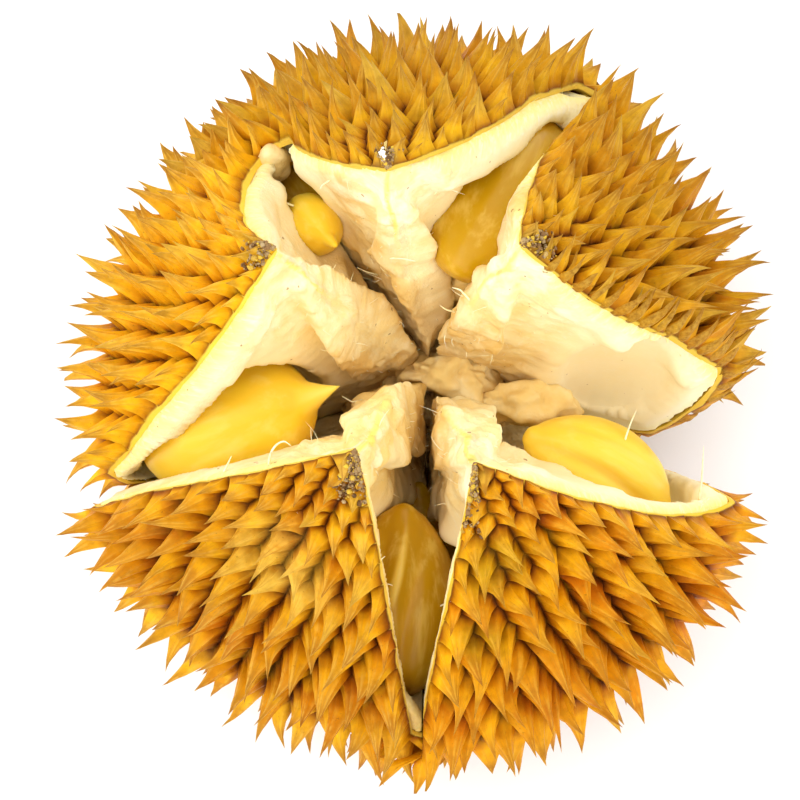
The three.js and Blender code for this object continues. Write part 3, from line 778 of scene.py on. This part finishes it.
def pulp(lobe, seed):
    ball, faces = sphere(72, 56)
    x, y, z = ball.T
    taper = 1 - TAPER * x * x - POINT_TAPER * lobe["point"] * np.maximum(0, -x) ** 2
    crease, tip = np.zeros(len(ball)), np.zeros(len(ball))
    for place, deep, wide in lobe["creases"]:
        wander = place + 0.08 * np.sin(3 * x + seed)
        fold = np.exp(-((y - wander) / wide) ** 2) * np.maximum(0, 1 - x * x) ** 0.7 * smooth(-0.2, 0.5, z)
        crease += deep * fold * (1 if deep > 0 else smooth(-0.1, -0.6, x))  # a ridge is on the inner end only
    body = np.stack([x, y * taper, z * taper], 1) * lobe["half"] * (1 - crease)[:, None]
    if lobe["name"] == DRAWN_OUT:
        tip = np.clip(1 - np.sqrt(np.maximum(1 - x * x, 0)) / 0.42, 0, 1) * (x < 0)
        body[:, 0] += 5 * np.maximum(0, -x) ** 3 - TIP_LENGTH * tip ** 1.6
    else:
        body[:, 0] -= lobe["point"] * 13 * smooth(-0.93, -1, x) ** 2
    wave = 0.8 * noise(body, 15, seed) + 0.35 * noise(body * [0.35, 1, 1], 5, seed + 3)
    body += ball * (wave + 0.1 * noise(body * [0.3, 1, 1], 1.6, seed + 4))[:, None]
    place = turn(lobe["azimuth"], "Z") @ shift(lobe["r"], lobe["z"]) @ turn(lobe["slope"], "Y")
    return make_object(lobe["name"] + "_lobe", moved(body, place), faces, body=body / lobe["half"],
                       crease=crease * 8, tint=lobe["tint"] - 0.5 * tip)


# ---- Stalk ----

STALK = [(0, 0), (10.4, 0), (11, 0.7), (11.1, 4), (10.7, 9), (10.9, 13), (9.8, 18), (9, 23.2), (8.2, 24),
         (0, 24)]  # radius and height


def stalk():
    points, faces = revolve(*resample(STALK, 60).T, 72)
    bark = noise(points * [1, 1, 0.25], 1.8, 5) * 0.3 * smooth(0.2, 1.5, points[:, 2])
    points[:, :2] *= (1 - np.maximum(bark, 0) / 11)[:, None]
    return make_object("stalk_bark", points, faces)


# ---- Torn tissue ----

SIDES = 5  # of a fibre
SHREDS = 200
FIBRES = 140  # on each valve

# Mounds of torn tissue: middle, half sizes, seed and how rough.
MOUNDS = {
    "core_tissue": ((*CORE, 34), (31, 29, 25), 300, 5),
    "septum_crown": ((8, 4, 61), (15, 8, 14), 330, 4.4),
    "septum_flare": ((28, -4.5, 58), (21, 6.5, 13), 320, 3.8),
    "rift_tissue": ((12.5, 29, 74), (8.5, 7, 23), 305, 1.5),
    "seam_web": ((-44.7, 66.8, 82), (5.5, 6, 9), 310, 1),
}


def mound(name, centre, half, seed, swell):
    ball, faces = sphere(76, 56)
    points = ball * half + np.array(centre)
    relief = noise(points, 11, seed) + 0.8 * noise(points * [0.6, 1.2, 1], 4.5, seed + 1)
    relief += 0.4 * noise(points * [0.7, 1, 0.6], 1.9, seed + 2)
    points += ball * (swell * relief)[:, None]
    # Golden all over, partly as painted warm shade, and darker golden-brown towards the bottom as painted
    # shade.
    rift = 0.15 + 0.85 * smooth(0.75, 0.15, (points[:, 2] - centre[2]) / half[2])
    return make_object(name, points, faces, depth=24, core=1, honey=1.3, rift=rift, crest=9,
                       grain=points * [0.5, 0.5, 1])


def tube(path, radius):
    """Points and faces of a closed tube along a path that thins out to its far end."""
    ahead = unit(np.gradient(path, axis=0))
    first = unit(np.cross(ahead, [0.31, 0.52, 0.79]))
    second = np.cross(ahead, first)
    a = turns(SIDES)[:, None]
    r = radius * (1 - 0.75 * np.linspace(0, 1, len(path)) ** 1.5)
    rings = path[:, None] + r[:, None, None] * (first[:, None] * np.cos(a) + second[:, None] * np.sin(a))
    flat = []  # a bent tube's sides aren't flat, so each is two triangles
    for a, b, c, *d in closed_rings(len(path), SIDES):
        flat += [(a, b, c), *((a, c, corner) for corner in d)]
    return np.vstack([rings.reshape(-1, 3), path[:1], path[-1:]]), flat


def shreds():
    """Strands of torn tissue that fill the deep gaps round the fruit's axis."""
    rng = np.random.default_rng(4)
    bundle = Bundle()
    t = np.linspace(0, 1, 12)[:, None]
    for _ in range(SHREDS):
        a, r = rng.random() * 2 * np.pi, 4 + 22 * rng.random() ** 0.7
        out = np.array([np.cos(a), np.sin(a), 0])
        foot = np.array([*CORE, 20 + 20 * rng.random()]) + r * out
        far = 10 + 16 * rng.random()
        way = np.array([0, 0, 1]) + 0.5 * out + 0.35 * rng.normal(size=3)
        curl = rng.normal(size=3) * 0.6
        path = foot + way * far * t + curl * far * t ** 2 * 0.4
        path += 0.8 * noise_vector(path * 1.3, 3, 61) * t
        bundle.add(*tube(path, 0.25 + 0.5 * rng.random() ** 2))
    return bundle.build("core_shreds")


def fluff(torn_pith, valve):
    """Short torn fibres that stand on the rough parts of a valve's pith."""
    mesh = torn_pith.data
    points, normals = read(mesh.vertices, "co", 3) / MM, read(mesh.vertices, "normal", 3)
    core, depth = (read(mesh.attributes[label].data, "value") for label in ("core", "depth"))
    closed = moved(points, valve["shut"])
    psi = polar(closed)[1]
    left, right = reach(valve, up_at(closed[:, 2]))
    rim = smooth(0.05, 0.02, np.minimum(np.abs(psi - left), np.abs(psi + right))) * smooth(7, 2, depth)
    weight = (0.5 * core ** 2 + 0.5 * rim) * (points[:, 2] > 40)
    rng = np.random.default_rng(valve["seed"] + 77)
    bundle = Bundle()
    t = np.linspace(0, 1, 7)[:, None]
    for v in rng.choice(len(points), FIBRES, replace=False, p=weight / weight.sum()):
        far = 0.7 + 3 * rng.random() ** 3
        way = unit(normals[v] + 0.9 * rng.normal(size=3))
        curl = rng.normal(size=3) * 0.8
        path = points[v] - 0.5 * normals[v] + way * (far * t + 0.3) + curl * far * t ** 2 * 0.5
        bundle.add(*tube(path, 0.07 + 0.11 * rng.random()))
    return bundle.build(f"fibres_{valve['name']}")


# ---- Materials ----

class Shader:
    """Builds the nodes of one material, whose colour is laid over colour."""

    def __init__(self, name, **constants):
        self.material = bpy.data.materials.new(name)
        self.material.use_nodes = True
        self.tree = self.material.node_tree
        self.surface = self.tree.nodes["Principled BSDF"]
        for socket, value in constants.items():
            self.surface.inputs[socket.replace("_", " ")].default_value = value
        place = self.tree.nodes.new("ShaderNodeTexCoord")
        self.place = self.vector("MULTIPLY", place.outputs["Object"], (1000, 1000, 1000))  # millimetres

    def put(self, socket, value):
        if isinstance(value, bpy.types.NodeSocket):
            self.tree.links.new(value, socket)
        else:
            socket.default_value = value

    def node(self, kind, inputs, output=0, **settings):
        n = self.tree.nodes.new(kind)
        for key, value in settings.items():
            setattr(n, key, value)
        for key, value in inputs.items():
            self.put(n.inputs[key], value)
        return n.outputs[output]

    def vector(self, operation, a, b, output="Vector"):
        return self.node("ShaderNodeVectorMath", {0: a, 1: b}, output, operation=operation)

    def math(self, operation, *values):
        """The sum, product or other result of the values, one after another."""
        return functools.reduce(
            lambda a, b: self.node("ShaderNodeMath", {0: a, 1: b}, operation=operation), values)

    def times(self, *factors):
        return self.math("MULTIPLY", *factors)

    def attribute(self, name, output="Fac"):
        return self.node("ShaderNodeAttribute", {}, output, attribute_name=name)

    def noise(self, size, detail=2.0, roughness=0.5, vector=None):
        """Noise around 0.5, with features about size across."""
        return self.node("ShaderNodeTexNoise", {"Vector": vector or self.place, "Scale": 1 / size,
                                                "Detail": detail, "Roughness": roughness}, "Fac")

    def between(self, value, lo, hi, first=0.0, last=1.0):
        return self.node("ShaderNodeMapRange", {"Value": value, "From Min": lo, "From Max": hi,
                                                "To Min": first, "To Max": last},
                         interpolation_type="SMOOTHSTEP")

    def ramp(self, value, stops):
        n = self.tree.nodes.new("ShaderNodeValToRGB")
        self.put(n.inputs[0], value)
        elements = n.color_ramp.elements
        while len(elements) < len(stops):
            elements.new(0.5)
        for element, (at, colour) in zip(elements, stops.items()):
            element.position, element.color = at, (*colour, 1)
        return n.outputs[0]

    def mix(self, factor, a, b, blend="MIX"):
        n = self.tree.nodes.new("ShaderNodeMix")
        n.data_type, n.blend_type = "RGBA", blend
        self.put(n.inputs[0], factor)
        for socket, value in ((n.inputs[6], a), (n.inputs[7], b)):
            self.put(socket, (*value, 1) if isinstance(value, tuple) else value)
        return n.outputs[2]

    def paint(self, colour, *shares, blend="MIX"):
        """Lays a colour over what is there, as strongly as the product of the shares, of which those in
        brackets are what between makes of them."""
        factors = [self.between(*share) if isinstance(share, tuple) else share for share in shares]
        self.colour = self.mix(self.times(*factors), self.colour, colour, blend)

    def finish(self, roughness, height, strength, distance):
        """Sets the colour, the roughness, and a bump of the height, as far as distance millimetres."""
        depth = distance * MM
        bump = self.node("ShaderNodeBump", {"Height": height, "Strength": strength, "Distance": depth})
        for socket, value in (("Base Color", self.colour), ("Roughness", roughness), ("Normal", bump)):
            self.put(self.surface.inputs[socket], value)
        return self.material


# Patches of the skin: their place in millimetres, how far out they reach, and their colour and strength.
OLIVE, STRAW = ((0.3, 0.22, 0.02), 0.6), ((0.84, 0.62, 0.18), 0.6)
ORANGE, WITHERED = ((0.6, 0.17, 0.001), 0.5), ((0.32, 0.18, 0.06), 0.75)
PATCHES = [
    ((-43, -58, 120), 20, STRAW), ((-34, -68, 119), 13, STRAW),
    ((22, -64, 135), 15, OLIVE), ((17, -82, 114), 10, OLIVE),
    ((84, -66, 78), 30, ORANGE), ((41, -91, 90), 26, ORANGE),
    ((-89, -49, 85), 28, ORANGE), ((-50, -73, 90), 22, ORANGE),
    ((-20, -34, 156), 10, WITHERED), ((15, -41, 156), 8, WITHERED), ((-46, 28, 146), 9, WITHERED),
    ((-11, 48, 154), 9, WITHERED), ((29, 24, 154), 11, WITHERED),
]


def rind_look():
    s = Shader("rind", Specular_IOR_Level=0.1)
    height, tone, ridge = map(s.attribute, ("height", "tone", "ridge"))
    torn, warm, dry = map(s.attribute, ("torn", "warm", "dry"))
    lines = s.attribute("streak", "Vector")
    streak, fine = s.noise(0.55, 3, 0.6, lines), s.noise(0.16, 2, 0.6, lines)
    patch, mottle, grit = s.noise(26), s.noise(3.5, 4, 0.6), s.noise(1.1, 3, 0.6)
    # From the valleys up to the tips: the spines' own gold to tan, and dark valley ends that are partly
    # painted shade between the spines. The deeper orange ramp below does the same.
    s.colour = s.ramp(height, {
        0: (0.2, 0.055, 0.001), 0.05: (0.42, 0.14, 0.001), 0.16: (0.74, 0.34, 0.002),
        0.34: (0.82, 0.42, 0.004), 0.55: (0.7, 0.35, 0.014), 0.78: (0.5, 0.245, 0.036),
        1: (0.3, 0.13, 0.035)})
    deep = s.ramp(height, {
        0: (0.16, 0.035, 0.001), 0.06: (0.36, 0.09, 0.001), 0.2: (0.58, 0.18, 0.001),
        0.5: (0.68, 0.26, 0.002), 0.78: (0.52, 0.2, 0.012), 1: (0.26, 0.1, 0.025)})
    orange = s.math("ADD", s.between(tone, 0.35, 0.0, 0, 0.5), s.between(patch, 0.45, 0.62, 0, 0.6))
    s.paint(deep, orange, (warm, 0.2, 0.9, 0.25, 1.1))
    # Straw, bright yellow and olive spines.
    s.paint((0.76, 0.52, 0.1), (tone, 0.82, 0.95), (height, 0.1, 0.6), 0.5)
    s.paint((0.95, 0.58, 0.02), (s.noise(11), 0.48, 0.62), (height, 0.85, 0.35), 0.55)
    s.paint((0.34, 0.25, 0.025), (s.noise(19), 0.6, 0.72), (height, 0, 0.3, 0.9, 0.4), 0.55)
    for place, radius, (colour, strength) in PATCHES:
        far = s.vector("DISTANCE", s.place, place, "Value")
        s.paint(colour, (far, radius, radius * 0.35), (mottle, 0.3, 0.6, 0.5, 1), strength)
    cloud = s.noise(6, 3, 0.6)
    shade = s.ramp(cloud, {0.3: (0.66, 0.6, 0.5), 0.5: (0.95, 0.93, 0.9), 0.7: (1.12, 1.14, 1.2)})
    s.paint(shade, 0.8, blend="MULTIPLY")
    # Painted shade: darker towards the valleys between the spines, more on the front valves than on the left
    # one.
    hollow = s.ramp(height, {0: (0.34, 0.26, 0.16), 0.12: (0.62, 0.54, 0.4), 0.34: (1, 1, 1)})
    s.paint(hollow, (warm, 0.35, 0.75, 0.25, 0.85), blend="MULTIPLY")
    # Withered lengthwise streaks, and ridges made paler as a painted highlight, towards the tips.
    s.paint((0.5, 0.25, 0.05), (streak, 0.5, 0.64), (height, 0.15, 0.8, 0.1, 1), 0.7)
    s.paint((0.8, 0.5, 0.13), ridge, (height, 0.12, 0.6), (mottle, 0.35, 0.6), 0.6)
    s.paint((0.2, 0.09, 0.03), (fine, 0.62, 0.76), (height, 0.2, 0.9, 0.15, 0.7))
    s.paint((0.25, 0.11, 0.02), (s.noise(0.8), 0.66, 0.76, 0, 0.5))
    s.paint((0.93, 0.66, 0.17), (torn, 0.35, 0.95))
    # Dry, granular sides where the skin has withered.
    withered = s.ramp(grit, {0.32: (0.25, 0.12, 0.03), 0.5: (0.45, 0.25, 0.07), 0.7: (0.6, 0.38, 0.13)})
    s.paint(withered, dry, (mottle, 0.25, 0.6, 0.4, 0.85))
    # Painted light and shade on each valve as a whole: the left one brighter as if lit, the back and right
    # ones darker as if shaded; the blue is cut on all of them too.
    side = s.ramp(warm, {0.2: (1.08, 1.07, 0.5), 0.45: (0.83, 0.81, 0.45), 0.6: (0.87, 0.81, 0.35),
                         0.75: (1.02, 0.9, 0.3), 0.8: (0.98, 0.93, 0.5)})
    s.paint(side, 1.0, blend="MULTIPLY")
    relief = s.math("ADD", s.times(streak, 0.7), s.times(mottle, 0.5), s.times(dry, grit))
    return s.finish(s.between(streak, 0.3, 0.7, 0.4, 0.62), relief, 0.55, 0.55)


def pith_look():
    s = Shader("pith", Specular_IOR_Level=0.25)
    depth, core, lining, crest, honey, rift = map(
        s.attribute, ("depth", "core", "lining", "crest", "honey", "rift"))
    grain = s.attribute("grain", "Vector")
    fibre, broad = s.noise(1.3, 4, 0.62, grain), s.noise(7, 3, 0.55, grain)
    cloud, fuzz = s.noise(9, 3, 0.6), s.noise(0.9, 4, 0.7)
    wander = s.math("ADD", depth, s.between(fibre, 0, 1, -0.8, 0.8))
    s.colour = s.ramp(s.math("DIVIDE", wander, 30), {
        0: (0.92, 0.62, 0.08), 0.05: (0.97, 0.84, 0.28), 0.13: (0.99, 0.93, 0.6), 0.3: (1.0, 0.95, 0.72),
        0.6: (1.0, 0.93, 0.64), 1: (0.99, 0.86, 0.5)})
    s.paint((0.95, 0.76, 0.38), (broad, 0.5, 0.68, 0, 0.2))
    s.paint((1.0, 0.96, 0.8), (fibre, 0.5, 0.7, 0, 0.4))
    s.paint((0.94, 0.68, 0.22), core, (cloud, 0.42, 0.62), 0.55)
    s.paint((0.93, 0.66, 0.22), honey, (broad, 0.3, 0.65, 0.35, 1), 0.7)
    # Darker golden-brown along the rifts: the torn tissue's own colour, and painted shade in the deep gaps
    # between the valves.
    s.paint((0.74, 0.44, 0.1), rift, (cloud, 0.3, 0.6, 0.45, 1), 0.7)
    s.paint((0.99, 0.86, 0.56), lining, (cloud, 0.3, 0.7, 0.4, 0.8))
    # The yellow vein along the crest, and dark specks.
    s.paint((0.97, 0.82, 0.12), (crest, 1.1, 0.2), (depth, 1, 5), (depth, 36, 18), 0.7)
    s.paint((0.3, 0.14, 0.03), (s.noise(2.3, 1), 0.755, 0.79), 0.7)
    relief = s.times(s.math("ADD", s.times(fibre, 0.8), s.times(fuzz, 0.35)), s.between(lining, 0, 1, 1, 0.2))
    return s.finish(s.between(lining, 0, 1, 0.75, 0.42), relief, 0.6, 0.9)


def pulp_look():
    s = Shader("pulp", Subsurface_Weight=0.3, Subsurface_Scale=0.006, Subsurface_Radius=(1, 0.6, 0.12),
               Specular_IOR_Level=0.28, Coat_Weight=0.06, Coat_Roughness=0.25)
    body, crease = s.attribute("body", "Vector"), s.attribute("crease")
    streak = s.noise(0.9, 4, 0.6, s.vector("MULTIPLY", body, (0.6, 3.2, 3.2)))
    # Lemon to golden, and darker still as painted shade for the lobes lying deep in the gaps.
    s.colour = s.ramp(s.attribute("tint"), {
        0: (0.95, 0.68, 0.1), 0.3: (0.92, 0.6, 0.03), 0.55: (0.88, 0.5, 0.01), 0.8: (0.6, 0.34, 0.001),
        1: (0.44, 0.22, 0.0005)})
    s.paint((0.98, 0.76, 0.2), (streak, 0.48, 0.7, 0, 0.3))
    s.paint((0.78, 0.42, 0.006), (s.noise(0.8, vector=body), 0.5, 0.75, 0, 0.45))
    # Painted shade in the creases, and a painted highlight on the ridges.
    s.paint((0.7, 0.36, 0.008), (crease, 0.15, 0.9, 0, 0.5))
    s.paint((0.93, 0.68, 0.13), (crease, -0.05, -0.5, 0, 0.6))
    relief = s.math("ADD", streak, s.times(s.noise(1.2, 3), 0.15))
    return s.finish(s.between(streak, 0.3, 0.7, 0.3, 0.45), relief, 0.25, 0.5)


def crust_look():
    s = Shader("crust", Specular_IOR_Level=0.2)
    grit = s.noise(0.35, 3, 0.7)
    s.colour = s.ramp(s.attribute("tone"), {
        0: (0.12, 0.06, 0.02), 0.25: (0.3, 0.16, 0.06), 0.45: (0.4, 0.26, 0.11), 0.7: (0.5, 0.36, 0.18),
        0.82: (0.6, 0.36, 0.05), 1: (0.8, 0.54, 0.05)})
    s.paint((0.16, 0.08, 0.03), (grit, 0.5, 0.68, 0, 0.6))
    return s.finish(0.9, grit, 0.6, 0.3)


def plain_look(name, colour, dark, size, roughness, **constants):
    """A colour broken up by a darker one, with a little relief."""
    s = Shader(name, **constants)
    cloud = s.noise(size, 4, 0.65)
    s.colour = s.mix(s.between(cloud, 0.42, 0.66, 0, 0.8), colour, dark)
    return s.finish(roughness, cloud, 0.4, 0.4)


# ---- Putting it together ----

rind_material, pith_material = rind_look(), pith_look()
pulp_material, crust_material = pulp_look(), crust_look()
fibre_material = plain_look("fibre", (0.98, 0.9, 0.62), (0.95, 0.78, 0.4), 3, 0.7, Subsurface_Weight=0.2,
                            Subsurface_Scale=0.002)
shred_material = plain_look("shreds", (0.86, 0.58, 0.2), (0.42, 0.2, 0.03), 5, 0.75)
white_material = plain_look("mould", (0.95, 0.93, 0.88), (0.8, 0.75, 0.66), 1, 0.95)
stalk_material = plain_look("stalk", (0.3, 0.19, 0.08), (0.11, 0.06, 0.025), 4, 0.85)

pieces = []  # what a long fibre may stand on
for valve in VALVES:
    dress(rind(valve), rind_material, "rind", f"rind_{valve['name']}")
    pieces.append(dress(pith(valve), pith_material, "pith", f"pith_{valve['name']}"))
    dress(crust(valve), crust_material, "rind")
    dress(fluff(pieces[-1], valve), fibre_material, "pith")
dress(crust(VALVES[0], white=True), white_material, "rind")
dress(fins(next(v for v in VALVES if v["name"] == HOOKED)), rind_material, "rind")
for i, lobe in enumerate(PULP):
    pieces.append(dress(pulp(lobe, 40 * i), pulp_material, "pulp", lobe["name"]))
dress(shreds(), shred_material, "pith")
for name, sizes in MOUNDS.items():
    dress(mound(name, *sizes), shred_material if name == "core_tissue" else pith_material, "pith")
dress(stalk(), stalk_material, "stalk", "stalk")

# ---- Camera ----

CAMERA_ELEVATION = 80.41
CAMERA_DISTANCE = 950
CAMERA_TARGET = Vector((-6.11, -6.71, 75))
PICTURE = 800  # pixels across
FOCAL = 3140.3  # in pixels
CENTRE = Vector((400, 405))  # the pixel that the camera looks at
SENSOR = 36


def look_at(o, target):
    o.rotation_euler = (Vector(target) - o.location).to_track_quat("-Z", "Y").to_euler()


elevation = CAMERA_ELEVATION * RAD
to_right = Vector((1, 0, 0))
to_camera = Vector((0, -math.cos(elevation), math.sin(elevation)))
to_top = to_camera.cross(to_right)
eye = CAMERA_TARGET + CAMERA_DISTANCE * to_camera
camera = add_object("camera", bpy.data.cameras.new("camera"))
camera.location = eye * MM
look_at(camera, CAMERA_TARGET * MM)
camera.data.sensor_width = SENSOR
camera.data.lens = SENSOR * FOCAL / PICTURE
camera.data.shift_y = (CENTRE.y - PICTURE / 2) / PICTURE
camera.data.clip_start, camera.data.clip_end = 0.05, 20
bpy.context.scene.camera = camera

# ---- Single long fibres ----

# Radius, and the path from where it stands on the pulp or pith: pixels x and y, and the rise in millimetres.
LONG_FIBRES = [
    (0.45, [(269, 466, 0), (270, 455, 3), (276, 445, 6), (285, 440, 7), (292, 446, 6)]),
    (0.4, [(224, 472, 0), (228, 464, 2), (232, 456, 4)]),
    (0.35, [(294, 206, 0), (280, 201, 3), (267, 194, 5)]),
    (0.3, [(292, 232, 0), (286, 233, 2), (280, 228, 3)]),
    (0.3, [(374, 562, 0), (380, 560, 2), (385, 556, 3)]),
    (0.3, [(440, 606, 0), (449, 602, 2), (456, 597, 3)]),
    (0.3, [(424, 692, 0), (420, 684, 2), (421, 676, 3)]),
    (0.35, [(625, 440, 0), (630, 424, 1), (636, 410, 2)]),
    (0.35, [(699, 500, 0), (700, 480, 6), (699, 462, 12), (698, 446, 18)]),
    (0.3, [(350, 408, 0), (344, 398, 3), (350, 392, 4), (346, 385, 5), (352, 380, 5)]),
    (0.3, [(362, 400, 0), (352, 402, 3), (342, 396, 4)]),
    (0.35, [(390, 258, 0), (403, 259, 3), (416, 262, 4)]),
    (0.3, [(372, 280, 0), (360, 277, 3), (352, 273, 4)]),
    (0.3, [(378, 275, 0), (366, 272, 2), (357, 268, 4)]),
    (0.35, [(470, 300, 0), (460, 290, 3), (452, 288, 4)]),
    (0.35, [(455, 312, 0), (446, 310, 3), (440, 306, 4)]),
    (0.3, [(330, 180, 0), (322, 186, 2), (320, 190, 3)]),
    (0.3, [(700, 508, 0), (706, 500, 2), (712, 497, 3)]),
    (0.3, [(120, 440, 0), (112, 432, 2)]),
]
ROOT_DEPTH = 0.4


def on_pieces(x, y, trees):
    """The nearest point of the pith and pulp behind a pixel, in millimetres."""
    way = ((x - CENTRE.x) / FOCAL * to_right - (y - CENTRE.y) / FOCAL * to_top - to_camera).normalized()
    hits = [tree.ray_cast(eye * MM, way) for tree in trees]
    far = min((h[3] for h in hits if h[0] is not None), default=None)
    return None if far is None else eye + way * far / MM


def long_fibres():
    graph = bpy.context.evaluated_depsgraph_get()
    trees = [BVHTree.FromObject(o, graph) for o in pieces]
    bundle = Bundle()
    for radius, path in LONG_FIBRES:
        x0, y0, _ = path[0]
        root = on_pieces(x0, y0, trees)
        if root is None:
            continue
        pixel = (eye - root).length / FOCAL
        line = [root + (x - x0) * pixel * to_right - (y - y0) * pixel * to_top
                + (rise - ROOT_DEPTH) * to_camera for x, y, rise in path]
        fine = resample(line, 16)
        for _ in range(2):
            fine[1:-1] = (fine[:-2] + 2 * fine[1:-1] + fine[2:]) / 4
        bundle.add(*tube(fine, radius))
    return bundle.build("fibres_long")


dress(long_fibres(), fibre_material, "pith")

# ---- Floor and light ----

FLOOR_REACH = 3.0  # metres, as the lights' places and sizes
SKY_STRENGTH = 1.4
LIT_POINT = (0, 0, 0.08)

corners = [(-1, -1), (1, -1), (1, 1), (-1, 1)]
floor_mesh = bpy.data.meshes.new("floor")
floor_mesh.from_pydata([(x * FLOOR_REACH, y * FLOOR_REACH, 0) for x, y in corners], [], [(0, 1, 2, 3)])
floor = add_object("floor", floor_mesh)
floor.data.materials.append(plain_look("floor", (0.97, 0.97, 0.96), (0.95, 0.95, 0.94), 400, 0.9))

world = bpy.data.worlds.new("studio")
bpy.context.scene.world = world
world.use_nodes = True
sky = world.node_tree.nodes["Background"].inputs
sky["Color"].default_value = (1, 1, 1, 1)
sky["Strength"].default_value = SKY_STRENGTH


def area_light(name, place, size, power):
    data = bpy.data.lights.new(name, "AREA")
    data.shape = "DISK"
    data.size, data.energy = size, power
    o = add_object(name, data)
    o.location = place
    look_at(o, LIT_POINT)


area_light("key", (-0.85, 0.02, 1.2), 1.5, 7)
area_light("fill", (0.7, -0.9, 0.9), 0.9, 2)
bpy.context.scene.view_settings.view_transform = "Standard"
